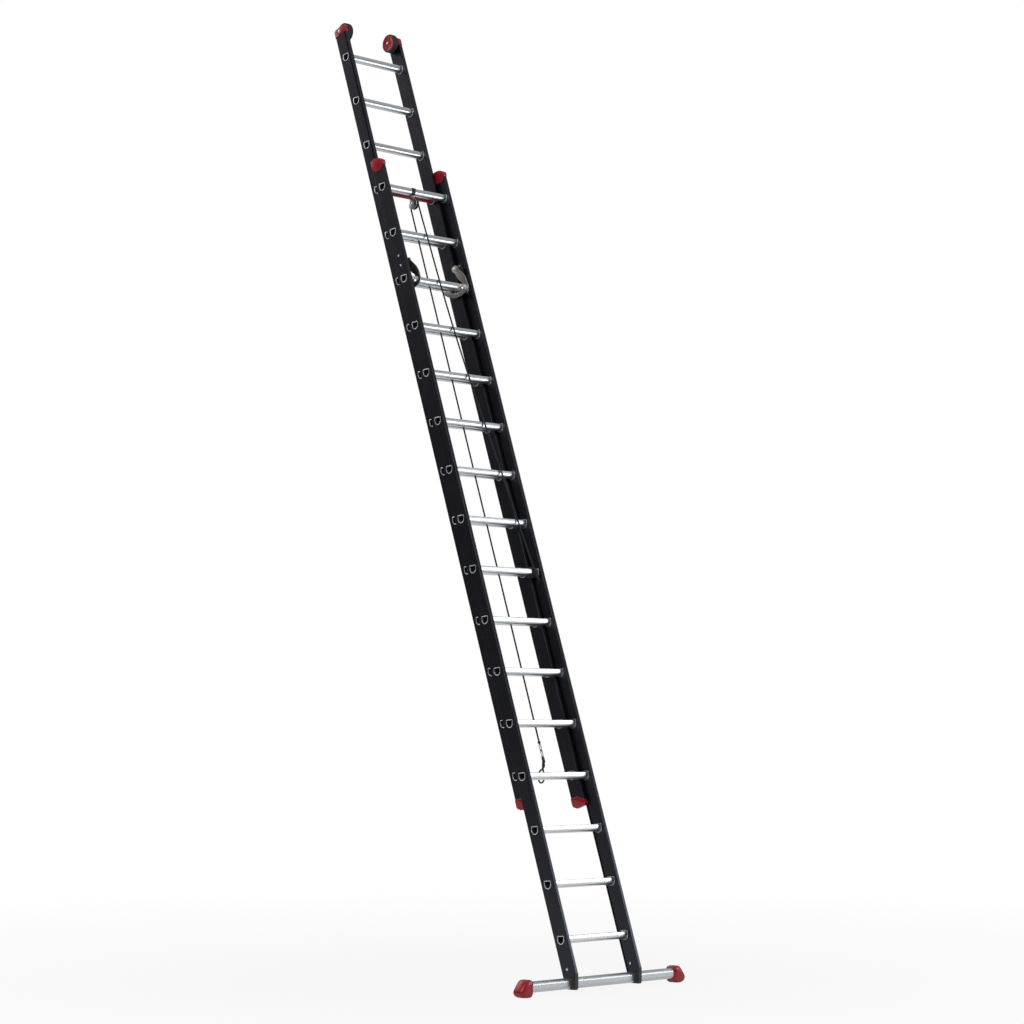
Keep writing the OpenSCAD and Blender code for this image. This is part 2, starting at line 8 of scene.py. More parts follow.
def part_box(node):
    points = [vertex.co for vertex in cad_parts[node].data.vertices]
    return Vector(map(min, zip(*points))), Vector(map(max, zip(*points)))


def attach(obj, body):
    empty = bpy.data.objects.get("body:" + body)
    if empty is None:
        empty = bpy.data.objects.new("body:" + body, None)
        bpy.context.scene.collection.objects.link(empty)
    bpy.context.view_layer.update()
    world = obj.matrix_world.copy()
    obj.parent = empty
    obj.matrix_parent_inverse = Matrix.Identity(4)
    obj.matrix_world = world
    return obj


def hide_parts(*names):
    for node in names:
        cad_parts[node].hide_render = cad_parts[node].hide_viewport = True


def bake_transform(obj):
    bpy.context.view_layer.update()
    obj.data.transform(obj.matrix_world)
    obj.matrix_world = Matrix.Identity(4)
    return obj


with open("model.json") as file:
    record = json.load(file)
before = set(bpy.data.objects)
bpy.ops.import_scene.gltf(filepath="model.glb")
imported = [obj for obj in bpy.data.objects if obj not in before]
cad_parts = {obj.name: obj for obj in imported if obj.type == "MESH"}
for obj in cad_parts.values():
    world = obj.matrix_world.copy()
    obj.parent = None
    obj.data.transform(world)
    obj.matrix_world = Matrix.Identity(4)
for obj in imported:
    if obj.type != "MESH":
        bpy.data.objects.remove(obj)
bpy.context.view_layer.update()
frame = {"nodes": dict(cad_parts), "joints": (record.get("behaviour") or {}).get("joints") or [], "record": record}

# Sizes in the dictionaries are in millimetres, as a ladder maker writes them. Camera, lights and
# floor are in metres. Most pieces are drawn in the ladder's own frame, X along the rungs, Y square to
# the stiles and away from the climber, and S up the stiles, and are leaned back with it at the end.

print("stage: camera")

cameraSet = {
    "place": (-8.924, -9.595, 1.2845),
    "heading": (0.68872, 0.71979, 0.08703),
    "lens": 87.3,
    "sensor": 36.0,
}


def makeCamera():
    data = bpy.data.cameras.new("studioCamera")
    data.lens = cameraSet["lens"]
    data.sensor_width = cameraSet["sensor"]
    data.clip_end = 200
    camera = bpy.data.objects.new("studioCamera", data)
    camera.location = cameraSet["place"]
    camera.rotation_euler = Vector(cameraSet["heading"]).to_track_quat("-Z", "Y").to_euler()
    bpy.context.scene.collection.objects.link(camera)
    bpy.context.scene.camera = camera


makeCamera()

# the ladder's frame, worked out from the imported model

mm = 0.001
slideAxis = next(j for j in frame["joints"] if j["name"] == "fly_slide")["axis"]
upStile = Vector(slideAxis).normalized()
offWall = upStile.cross(Vector((1, 0, 0)))
lean = math.atan2(upStile.y, upStile.z)


def boxMiddle(node):
    low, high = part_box(node)
    return (low + high) / 2


rungSet = {
    "width": 42,
    "side": 16,
    "corner": 3,
    "wall": 1.6,
    "rim": 5,            # swaged rim on the inner web
    "rimOut": 3,         # and on the outer one
    "gap": 3,            # painted-shadow ring between rung and inner rim
    "proud": 2,
    "tilt": 14,
    "ribs": 7,           # fine anti-slip grooves along the tread
    "ribDepth": 0.9,
    "ribWidth": 1.7,
}


# the rung's outline round the middle of its half-round underside, with the same points for any growth
def rungOutline(grow=0.0, groove=0.0):
    r = rungSet["width"] / 2 + grow
    c = rungSet["corner"] + grow
    h = rungSet["side"] + grow
    flat = []
    for i in range(25):                                  # half-round underside, back to front
        a = -math.pi * i / 24
        flat.append((r * math.cos(a), r * math.sin(a)))
    for i in range(5):                                   # front edge of the tread
        a = math.pi - math.pi / 2 * i / 4
        flat.append((-r + c + c * math.cos(a), h - c + c * math.sin(a)))
    half = rungSet["width"] / 2 - rungSet["corner"] - 2
    step = 2 * half / rungSet["ribs"]
    for i in range(rungSet["ribs"]):
        middle = -half + step * (i + 0.5)
        w = rungSet["ribWidth"] / 2
        for dx, dz in ((-w, 0), (-w + 0.3, -groove), (w - 0.3, -groove), (w, 0)):
            flat.append((middle + dx, h + dz))
    for i in range(5):                                   # back edge
        a = math.pi / 2 - math.pi / 2 * i / 4
        flat.append((r - c + c * math.cos(a), h - c + c * math.sin(a)))
    t = math.radians(rungSet["tilt"])
    return [(a * math.cos(t) - b * math.sin(t), a * math.sin(t) + b * math.cos(t)) for a, b in flat]


# middle of a rung's half-round, from the box of its node
def rungMiddle(node):
    spots = [offWall * (y * mm) + upStile * (s * mm) for y, s in rungOutline(rungSet["rim"])]
    y = (min(p.y for p in spots) + max(p.y for p in spots)) / 2
    z = (min(p.z for p in spots) + max(p.z for p in spots)) / 2
    middle = boxMiddle(node)
    return Vector((0, middle.y - y, middle.z - z))


firstRung = rungMiddle("base_rung_01")
rungStep = rungMiddle("base_rung_02") - firstRung
pitch = rungStep.length / mm
ladderZero = firstRung - rungStep
redRung = rungMiddle("fly_rung_13") - ladderZero
flyY = redRung.dot(offWall) / mm
flyLift = redRung.dot(upStile) / mm - 13 * pitch         # height of the sliding rungs above their numbers
toRow = Matrix.Translation(ladderZero) @ Matrix(((1, 0, 0), offWall, upStile)).transposed().to_4x4()
toRow = toRow @ Matrix.Scale(mm, 4)
baseIn, baseOut = (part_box("base_stile_right")[i].x / mm for i in (0, 1))
flyIn, flyOut = (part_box("fly_stile_right")[i].x / mm for i in (0, 1))


def baseRungS(k):
    return pitch * k


def flyRungS(k):
    return pitch * k + flyLift


# a point or a node's middle in ladder millimetres
def onLadder(point):
    return toRow.inverted() @ Vector(point)


def inRow(x, y, s):
    return toRow @ Vector((x, y, s))


# points and faces of a piece, gathered in the ladder's frame or in the row's
class Shape:
    def __init__(self):
        self.points = []
        self.faces = []

    # joins loops of equal length with quads, and closes or caps the ends
    def loft(self, loops, joined=False, capped=True):
        start = len(self.points)
        n = len(loops[0])
        for loop in loops:
            self.points.extend(loop)
        for i in range(len(loops) if joined else len(loops) - 1):
            a = start + i * n
            b = start + (i + 1) % len(loops) * n
            for k in range(n):
                m = (k + 1) % n
                self.faces.append((a + k, a + m, b + m, b + k))
        if capped and not joined:
            self.faces.append(tuple(start + k for k in range(n)))
            self.faces.append(tuple(start + (len(loops) - 1) * n + n - 1 - k for k in range(n)))
        return self

    # turns a profile of (radius, height) about an axis through a point
    def turn(self, profile, middle, axis="x", steps=48, joined=False):
        loops = []
        for r, h in profile:
            loop = []
            for k in range(steps):
                a = 2 * math.pi * k / steps
                u, v = r * math.cos(a), r * math.sin(a)
                offset = (h, u, v) if axis == "x" else (u, v, h)
                loop.append(tuple(middle[i] + offset[i] for i in range(3)))
            loops.append(loop)
        return self.loft(loops, joined=joined)

    # an outline in Y and S with softened edges, from x0 to x1
    def slab(self, outline, x0, x1, edge=1.0, steps=2):
        low, high = min(x0, x1), max(x0, x1)
        loops = []
        for i in range(steps + 1):
            a = math.pi / 2 * i / steps
            inner = insetOutline(outline, edge * (1 - math.sin(a)))
            loops.append([(low + edge * (1 - math.cos(a)), y, s) for y, s in inner])
        for i in range(steps, -1, -1):
            a = math.pi / 2 * i / steps
            inner = insetOutline(outline, edge * (1 - math.sin(a)))
            loops.append([(high - edge * (1 - math.cos(a)), y, s) for y, s in inner])
        return self.loft(loops)

    def block(self, low, high, edge=0.6):
        corners = [(low[1], low[2], edge), (high[1], low[2], edge), (high[1], high[2], edge),
                   (low[1], high[2], edge)]
        return self.slab(roundedOutline(corners, 3), low[0], high[0], edge * 0.7)

    def make(self, name, material, matrix=toRow, sharp=32):
        mesh = bpy.data.meshes.new(name)
        mesh.from_pydata([matrix @ Vector(p) for p in self.points], [], self.faces)
        tidy = bmesh.new()
        tidy.from_mesh(mesh)
        bmesh.ops.remove_doubles(tidy, verts=tidy.verts, dist=1e-6)
        bmesh.ops.recalc_face_normals(tidy, faces=tidy.faces)
        tidy.to_mesh(mesh)
        tidy.free()
        mesh.shade_smooth()
        mesh.set_sharp_from_angle(angle=math.radians(sharp))
        mesh.materials.append(material)
        piece = bpy.data.objects.new(name, mesh)
        bpy.context.scene.collection.objects.link(piece)
        return piece


# moves every point of a closed outline inwards
def insetOutline(outline, distance):
    if distance < 1e-9:
        return list(outline)
    area = sum(a[0] * b[1] - b[0] * a[1] for a, b in zip(outline, outline[1:] + outline[:1]))
    turn = 1 if area > 0 else -1
    moved = []
    n = len(outline)
    for i, p in enumerate(outline):
        before, after = Vector(outline[i - 1]), Vector(outline[(i + 1) % n])
        p = Vector(p)
        first, second = (p - before), (after - p)
        if first.length < 1e-9 or second.length < 1e-9:
            moved.append(tuple(p))
            continue
        first, second = first.normalized(), second.normalized()
        side = Vector((-(first.y + second.y), first.x + second.x)) * turn
        if side.length < 1e-6:
            moved.append(tuple(p))
            continue
        side.normalize()
        straight = max(0.35, side.dot(Vector((-first.y, first.x)) * turn))
        moved.append(tuple(p + side * distance / straight))
    return moved


# rounds the corners of a polygon given as (y, s, radius)
def roundedOutline(corners, steps=5):
    outline = []
    n = len(corners)
    for i, (y, s, r) in enumerate(corners):
        p = Vector((y, s))
        before = Vector(corners[i - 1][:2]) - p
        after = Vector(corners[(i + 1) % n][:2]) - p
        if r <= 0:
            outline.append((y, s))
            continue
        between = before.angle(after)
        reach = min(r / math.tan(between / 2), before.length * 0.49, after.length * 0.49)
        r = reach * math.tan(between / 2)
        start = p + before.normalized() * reach
        end = p + after.normalized() * reach
        middle = p + (before.normalized() + after.normalized()).normalized() * (r / math.sin(between / 2))
        a = math.atan2(start.y - middle.y, start.x - middle.x)
        b = math.atan2(end.y - middle.y, end.x - middle.x)
        while b - a > math.pi:
            b -= 2 * math.pi
        while b - a < -math.pi:
            b += 2 * math.pi
        for k in range(steps + 1):
            t = a + (b - a) * k / steps
            outline.append((middle.x + r * math.cos(t), middle.y + r * math.sin(t)))
    return outline


def arc(middle, r, start, end, steps):
    spots = []
    for k in range(steps + 1):
        a = math.radians(start + (end - start) * k / steps)
        spots.append((middle[0] + r * math.cos(a), middle[1] + r * math.sin(a)))
    return spots


print("stage: materials")


def newGroup(name, inputs, outputs):
    group = bpy.data.node_groups.new(name, "ShaderNodeTree")
    for label, kind, value in inputs:
        socket = group.interface.new_socket(label, in_out="INPUT", socket_type=kind)
        if value is not None:
            socket.default_value = value
    for label, kind in outputs:
        group.interface.new_socket(label, in_out="OUTPUT", socket_type=kind)
    return group, group.nodes.new("NodeGroupInput"), group.nodes.new("NodeGroupOutput")


def addNode(tree, kind, **settings):
    node = tree.nodes.new(kind)
    for key, value in settings.items():
        setattr(node, key, value)
    return node


def noise(tree, vector, scale, detail=3.0, rough=0.55):
    node = addNode(tree, "ShaderNodeTexNoise")
    node.inputs["Scale"].default_value = scale
    node.inputs["Detail"].default_value = detail
    node.inputs["Roughness"].default_value = rough
    tree.links.new(vector, node.inputs["Vector"])
    return node.outputs["Fac"]


def remap(tree, value, low, high, fromLow=0.0, fromHigh=1.0):
    node = addNode(tree, "ShaderNodeMapRange")
    node.inputs["From Min"].default_value = fromLow
    node.inputs["From Max"].default_value = fromHigh
    node.inputs["To Min"].default_value = low
    node.inputs["To Max"].default_value = high
    tree.links.new(value, node.inputs["Value"])
    return node.outputs["Result"]


# streaks left by drawing or brushing, along the group's own Z
def makeStreakGroup():
    group, entry, result = newGroup(
        "drawnStreaks",
        [("Vector", "NodeSocketVector", None), ("Width", "NodeSocketFloat", 900.0),
         ("Length", "NodeSocketFloat", 3.0)],
        [("Streak", "NodeSocketFloat"), ("Cloud", "NodeSocketFloat")],
    )
    scale = addNode(group, "ShaderNodeCombineXYZ")
    group.links.new(entry.outputs["Width"], scale.inputs["X"])
    group.links.new(entry.outputs["Width"], scale.inputs["Y"])
    group.links.new(entry.outputs["Length"], scale.inputs["Z"])
    stretched = addNode(group, "ShaderNodeVectorMath", operation="MULTIPLY")
    group.links.new(entry.outputs["Vector"], stretched.inputs[0])
    group.links.new(scale.outputs["Vector"], stretched.inputs[1])
    group.links.new(noise(group, stretched.outputs["Vector"], 1.0, 4.0, 0.6), result.inputs["Streak"])
    group.links.new(noise(group, entry.outputs["Vector"], 5.0, 4.0, 0.6), result.inputs["Cloud"])
    return group


# fine pebbled skin of moulded plastic, powder coat or rubber, with a slow cloud over it
def makeGrainGroup():
    group, entry, result = newGroup(
        "mouldedGrain",
        [("Vector", "NodeSocketVector", None), ("Grain", "NodeSocketFloat", 1400.0),
         ("Cloud Size", "NodeSocketFloat", 18.0)],
        [("Grain", "NodeSocketFloat"), ("Cloud", "NodeSocketFloat"), ("Scuff", "NodeSocketFloat")],
    )
    fine = addNode(group, "ShaderNodeTexNoise")
    group.links.new(entry.outputs["Vector"], fine.inputs["Vector"])
    group.links.new(entry.outputs["Grain"], fine.inputs["Scale"])
    fine.inputs["Detail"].default_value = 2.0
    cloud = addNode(group, "ShaderNodeTexNoise")
    group.links.new(entry.outputs["Vector"], cloud.inputs["Vector"])
    group.links.new(entry.outputs["Cloud Size"], cloud.inputs["Scale"])
    cloud.inputs["Detail"].default_value = 4.0
    scratch = addNode(group, "ShaderNodeTexNoise")
    group.links.new(entry.outputs["Vector"], scratch.inputs["Vector"])
    scratch.inputs["Scale"].default_value = 60.0
    scratch.inputs["Detail"].default_value = 8.0
    scratch.inputs["Distortion"].default_value = 1.5
    group.links.new(fine.outputs["Fac"], result.inputs["Grain"])
    group.links.new(cloud.outputs["Fac"], result.inputs["Cloud"])
    group.links.new(remap(group, scratch.outputs["Fac"], 0.0, 1.0, 0.56, 0.72), result.inputs["Scuff"])
    return group


streakGroup = makeStreakGroup()
grainGroup = makeGrainGroup()


def newMaterial(name):
    material = bpy.data.materials.new(name)
    material.use_nodes = True
    tree = material.node_tree
    return material, tree, tree.nodes["Principled BSDF"]


# object coordinates turned so that Z runs up the stiles, or along the rungs
def workVector(tree, along="stile"):
    place = addNode(tree, "ShaderNodeTexCoord")
    turned = addNode(tree, "ShaderNodeMapping")
    if along == "stile":
        turned.inputs["Rotation"].default_value = (lean, 0, 0)
    if along == "rung":
        turned.inputs["Rotation"].default_value = (0, math.radians(90), 0)
    tree.links.new(place.outputs["Object"], turned.inputs["Vector"])
    return turned.outputs["Vector"]


def mixColours(tree, mask, dark, light):
    node = addNode(tree, "ShaderNodeMix", data_type="RGBA")
    node.inputs["A"].default_value = (*dark, 1)
    node.inputs["B"].default_value = (*light, 1)
    tree.links.new(mask, node.inputs["Factor"])
    return node.outputs["Result"]


def addBump(tree, shader, height, strength, distance):
    bump = addNode(tree, "ShaderNodeBump")
    bump.inputs["Strength"].default_value = strength
    bump.inputs["Distance"].default_value = distance
    tree.links.new(height, bump.inputs["Height"])
    tree.links.new(bump.outputs["Normal"], shader.inputs["Normal"])


# extruded or brushed metal, with streaks along its length
def metalMaterial(name, look):
    material, tree, shader = newMaterial(name)
    streaks = addNode(tree, "ShaderNodeGroup", node_tree=streakGroup)
    tree.links.new(workVector(tree, look["along"]), streaks.inputs["Vector"])
    streaks.inputs["Width"].default_value = look["streakWidth"]
    streaks.inputs["Length"].default_value = look["streakLength"]
    mask = addNode(tree, "ShaderNodeMath", operation="MULTIPLY")
    tree.links.new(streaks.outputs["Streak"], mask.inputs[0])
    tree.links.new(remap(tree, streaks.outputs["Cloud"], 0.6, 1.4), mask.inputs[1])
    tree.links.new(mixColours(tree, mask.outputs["Value"], look["dark"], look["light"]),
                   shader.inputs["Base Color"])
    tree.links.new(remap(tree, mask.outputs["Value"], look["smooth"], look["rough"], 0.25, 0.75),
                   shader.inputs["Roughness"])
    shader.inputs["Metallic"].default_value = look["metal"]
    shader.inputs["Specular IOR Level"].default_value = look.get("gloss", 0.5)
    addBump(tree, shader, streaks.outputs["Streak"], look["bump"], 0.0004)
    return material


# moulded plastic, rubber or powder coat
def mouldedMaterial(name, look):
    material, tree, shader = newMaterial(name)
    grain = addNode(tree, "ShaderNodeGroup", node_tree=grainGroup)
    tree.links.new(workVector(tree, "stile"), grain.inputs["Vector"])
    grain.inputs["Grain"].default_value = look["grain"]
    base = mixColours(tree, grain.outputs["Cloud"], look["dark"], look["light"])
    worn = addNode(tree, "ShaderNodeMix", data_type="RGBA")
    tree.links.new(base, worn.inputs["A"])
    worn.inputs["B"].default_value = (*look["scuff"], 1)
    tree.links.new(remap(tree, grain.outputs["Scuff"], 0.0, look["wear"]), worn.inputs["Factor"])
    tree.links.new(worn.outputs["Result"], shader.inputs["Base Color"])
    tree.links.new(remap(tree, grain.outputs["Cloud"], look["smooth"], look["rough"], 0.3, 0.7),
                   shader.inputs["Roughness"])
    addBump(tree, shader, grain.outputs["Grain"], look["bump"], 0.0003)
    return material


stileCoat = metalMaterial("stileCoat", {
    "along": "stile", "streakWidth": 700.0, "streakLength": 2.5, "metal": 0.90,
    "gloss": 0.30, "dark": (0.022, 0.022, 0.028), "light": (0.058, 0.060, 0.074), "smooth": 0.22,
    "rough": 0.34,
    "bump": 0.25,
})
rungAluminium = metalMaterial("rungAluminium", {
    "along": "rung", "streakWidth": 900.0, "streakLength": 4.0, "metal": 1.0,
    "dark": (0.62, 0.63, 0.65), "light": (0.88, 0.89, 0.91), "smooth": 0.24, "rough": 0.40, "bump": 0.25,
})
# near-black inner wall of the rung tubes: painted shade inside the bore
paintedShadeBore = metalMaterial("paintedShadeBore", {
    "along": "rung", "streakWidth": 900.0, "streakLength": 4.0, "metal": 0.6,
    "dark": (0.03, 0.03, 0.035), "light": (0.09, 0.09, 0.10), "smooth": 0.45, "rough": 0.60, "bump": 0.25,
})
redCoat = mouldedMaterial("redCoat", {
    "grain": 900.0, "dark": (0.25, 0.008, 0.022), "light": (0.33, 0.012, 0.032),
    "scuff": (0.45, 0.10, 0.11),
    "wear": 0.25, "smooth": 0.36, "rough": 0.48, "bump": 0.20,
})
barAluminium = metalMaterial("barAluminium", {
    "along": "rung", "streakWidth": 500.0, "streakLength": 2.0, "metal": 1.0,
    "dark": (0.46, 0.47, 0.49), "light": (0.66, 0.67, 0.69), "smooth": 0.30, "rough": 0.46, "bump": 0.25,
})
redPlastic = mouldedMaterial("redPlastic", {
    "grain": 1500.0, "dark": (0.30, 0.001, 0.008), "light": (0.44, 0.002, 0.014),
    "scuff": (0.48, 0.03, 0.04),
    "wear": 0.22, "smooth": 0.20, "rough": 0.32, "bump": 0.20,
})
redHub = mouldedMaterial("redHub", {
    "grain": 1300.0, "dark": (0.30, 0.001, 0.009), "light": (0.42, 0.002, 0.016),
    "scuff": (0.46, 0.03, 0.04),
    "wear": 0.20, "smooth": 0.34, "rough": 0.46, "bump": 0.18,
})
blackPlastic = mouldedMaterial("blackPlastic", {
    "grain": 1200.0, "dark": (0.011, 0.011, 0.012), "light": (0.020, 0.020, 0.022),
    "scuff": (0.07, 0.07, 0.07),
    "wear": 0.35, "smooth": 0.40, "rough": 0.55, "bump": 0.30,
})
tyreRubber = mouldedMaterial("tyreRubber", {
    "grain": 800.0, "dark": (0.022, 0.022, 0.024), "light": (0.040, 0.040, 0.043),
    "scuff": (0.11, 0.11, 0.11),
    "wear": 0.45, "smooth": 0.62, "rough": 0.80, "bump": 0.35,
})
hookSteel = metalMaterial("hookSteel", {
    "along": "stile", "streakWidth": 260.0, "streakLength": 60.0, "metal": 1.0,
    "dark": (0.27, 0.255, 0.24), "light": (0.50, 0.48, 0.455), "smooth": 0.26, "rough": 0.44, "bump": 0.22,
})
fastenerSteel = metalMaterial("fastenerSteel", {
    "along": "stile", "streakWidth": 500.0, "streakLength": 500.0, "metal": 1.0,
    "dark": (0.60, 0.61, 0.62), "light": (0.80, 0.81, 0.82), "smooth": 0.18, "rough": 0.32, "bump": 0.12,
})
zincPlate = metalMaterial("zincPlate", {
    "along": "stile", "streakWidth": 300.0, "streakLength": 120.0, "metal": 1.0,
    "dark": (0.68, 0.69, 0.70), "light": (0.88, 0.89, 0.90), "smooth": 0.16, "rough": 0.30, "bump": 0.15,
})


# braided cover: two sets of strands that cross, laid out on the piece's own UV map
def braidMaterial():
    material, tree, shader = newMaterial("ropeBraid")
    place = addNode(tree, "ShaderNodeUVMap", uv_map="braid")
    split = addNode(tree, "ShaderNodeSeparateXYZ")
    tree.links.new(place.outputs["UV"], split.inputs["Vector"])
    waves = []
    for sign in (1, -1):
        tilted = addNode(tree, "ShaderNodeMath", operation="MULTIPLY_ADD")
        tree.links.new(split.outputs["Y"], tilted.inputs[0])
        tilted.inputs[1].default_value = sign
        tree.links.new(split.outputs["X"], tilted.inputs[2])
        wave = addNode(tree, "ShaderNodeMath", operation="SINE")
        tree.links.new(tilted.outputs["Value"], wave.inputs[0])
        waves.append(wave)
    braid = addNode(tree, "ShaderNodeMath", operation="MAXIMUM")
    tree.links.new(waves[0].outputs["Value"], braid.inputs[0])
    tree.links.new(waves[1].outputs["Value"], braid.inputs[1])
    fibre = noise(tree, workVector(tree, "stile"), 2600.0, 3.0)
    mask = addNode(tree, "ShaderNodeMath", operation="MULTIPLY")
    tree.links.new(remap(tree, braid.outputs["Value"], 0.2, 1.0, -1.0, 1.0), mask.inputs[0])
    tree.links.new(fibre, mask.inputs[1])
    colour = mixColours(tree, mask.outputs["Value"], (0.003, 0.003, 0.004), (0.020, 0.020, 0.022))
    tree.links.new(colour, shader.inputs["Base Color"])
    tree.links.new(remap(tree, fibre, 0.62, 0.86), shader.inputs["Roughness"])
    shader.inputs["Sheen Weight"].default_value = 0.10
    addBump(tree, shader, mask.outputs["Value"], 0.5, 0.0006)
    return material


ropeBraid = braidMaterial()

print("stage: rope")

ropeSet = {
    "diameter": 9,
    "sides": 16,
    "ring": 1.8,          # distance between rings of the skin
    "strands": 4,         # braid lobes round the rope
    "lay": 15,            # length of one lobe along the rope
    "relief": 0.30,
}
ropeRoutes = {            # x, y and s of the centre line, as in the part's source
    "free": [
        (-24, -30, 4400), (-22, -30, 4340), (-14, -30, 4160), (-4, -30, 3940), (4, -30, 3800),
        (14, -30, 3660), (26, -30, 3520), (40, -30, 3380), (56, -30, 3240), (74, -30, 3100),
        (92, -30, 2960), (111, -30, 2820), (128, -30, 2680), (145, -30, 2540), (161, -30, 2400),
        (172, -30, 2310), (178, -30.5, 2262), (179, -31, 2240),
    ],
    "loop": [
        (-24, 33, 1310), (-24, 33, 1280), (-24, 33, 1240), (-24, 34, 1222), (-27, 36, 1206),
        (-34, 37, 1186), (-40, 36, 1162), (-42, 36, 1140), (-41, 42, 1118), (-38, 56, 1108),
        (-34, 70, 1106), (-30, 84, 1110), (-26, 96, 1122), (-22, 100, 1142), (-18, 96, 1160),
        (-14, 84, 1172), (-11, 68, 1178), (-9, 54, 1186), (-10, 48, 1198), (-14, 47, 1210),
    ],
    "haulTop": 4412,
    "haulBottom": 1310,
    "haulY": 33,
    "sheaveY": 1.5,
    "sheaveX": -24,
    "pitchRadius": 31.5,
    "endRung": 8,
}


# a smooth line through given points, cut into even steps
def smoothLine(points, step):
    points = [Vector(p) for p in points]
    fine = []
    for i in range(len(points) - 1):
        a, b = points[i], points[i + 1]
        before = points[i - 1] if i else a * 2 - b
        after = points[i + 2] if i + 2 < len(points) else b * 2 - a
        count = max(2, int((b - a).length / 4))
        for k in range(count):
            t = k / count
            fine.append(0.5 * ((2 * a) + (b - before) * t + (2 * before - 5 * a + 4 * b - after) * t * t
                               + (3 * a - before - 3 * b + after) * t ** 3))
    fine.append(points[-1])
    even = [fine[0]]
    left = step
    for a, b in zip(fine, fine[1:]):
        span = (b - a).length
        walked = 0.0
        while span - walked >= left:
            walked += left
            even.append(a.lerp(b, walked / span))
            left = step
        left -= span - walked
    even.append(fine[-1])
    return even


# a braided skin round a line: two sets of strands make a diamond relief
def ropeSkin(name, line):
    shape = Shape()
    sides = ropeSet["sides"]
    loops = []
    walked = 0.0
    side = Vector((1, 0, 0))
    for i, p in enumerate(line):
        heading = (line[min(i + 1, len(line) - 1)] - line[max(i - 1, 0)]).normalized()
        side = (side - heading * side.dot(heading)).normalized()
        other = heading.cross(side)
        if i:
            walked += (p - line[i - 1]).length
        loop = []
        for k in range(sides):
            a = 2 * math.pi * k / sides
            turnA = math.sin(ropeSet["strands"] * a + 2 * math.pi * walked / ropeSet["lay"])
            turnB = math.sin(ropeSet["strands"] * a - 2 * math.pi * walked / ropeSet["lay"])
            r = ropeSet["diameter"] / 2 - ropeSet["relief"] * (1 - max(turnA, turnB))
            loop.append(tuple(p + side * (r * math.cos(a)) + other * (r * math.sin(a))))
        loops.append(loop)
    shape.loft(loops)
    piece = shape.make(name, ropeBraid, sharp=80)
    addBraidMap(piece, line)
    return piece


# lays the braid's UV map on a rope: X is the angle round it, Y the length along it
def addBraidMap(piece, line):
    mesh = piece.data
    sides = ropeSet["sides"]
    lengths = [0.0]
    for a, b in zip(line, line[1:]):
        lengths.append(lengths[-1] + (b - a).length)
    layer = mesh.uv_layers.new(name="braid")
    for face in mesh.polygons:
        ks = [mesh.loops[i].vertex_index % sides for i in face.loop_indices]
        wraps = max(ks) - min(ks) > sides / 2
        for i in face.loop_indices:
            v = mesh.loops[i].vertex_index
            k = v % sides
            if wraps and k < sides / 2:
                k += sides
            along = lengths[min(v // sides, len(lengths) - 1)]
            layer.data[i].uv = (2 * math.pi * ropeSet["strands"] * k / sides,
                                2 * math.pi * along / ropeSet["lay"])


def makeRope():
    r = ropeRoutes
    step = ropeSet["ring"]
    haul = smoothLine([(r["sheaveX"], r["haulY"], r["haulTop"]),
                       (r["sheaveX"], r["haulY"], r["haulBottom"])], step)
    haulLeg = ropeSkin("ropeHaulLeg", haul)
    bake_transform(haulLeg)
    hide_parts("rope_haul_leg")

    over = [(r["sheaveX"], y, s) for y, s in arc((r["sheaveY"], r["haulTop"]), r["pitchRadius"], 0, 180,
                                                 20)]
    free = smoothLine(over + r["free"], step)
    freeLeg = ropeSkin("ropeFreeLeg", free)
    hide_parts("rope_free_leg")
    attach(freeLeg, "base_section")

    loop = smoothLine(r["loop"], step)
    ropeLoop = ropeSkin("ropeLoop", loop)
    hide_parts("rope_loop")
    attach(ropeLoop, "fly_section")


makeRope()


# the free end made fast: two turns round the rung, crossing at the front, and a short tail
def makeEndKnot():
    around = rungOutline(ropeSet["diameter"] / 2 + 0.4)
    s = baseRungS(ropeRoutes["endRung"])
    x = ropeRoutes["free"][-1][0]
    turns = []
    n = len(around)
    start = min(range(n), key=lambda i: around[i][0] + 0.2 * abs(around[i][1]))   # the front of the rung
    total = 2 * n
    for k in range(0, total + 1, 3):
        i = (start + k) % n
        share = k / total
        outward = 1.0 + 0.16 * max(0.0, math.cos(2 * math.pi * share * 2)) * (1 if 0.3 < share < 0.7 else 0)
        turns.append((x - 6 + 14 * share, around[i][0] * outward, s + around[i][1]))
    tail = [(x + 10, -33, s - 18), (x + 11, -34, s - 40), (x + 10, -35, s - 62)]
    line = smoothLine(turns + tail, ropeSet["ring"])
    knot = ropeSkin("ropeEndKnot", line)
    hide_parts("rope_end_knot")
    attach(knot, "base_section")


makeEndKnot()

print("stage: rungs")


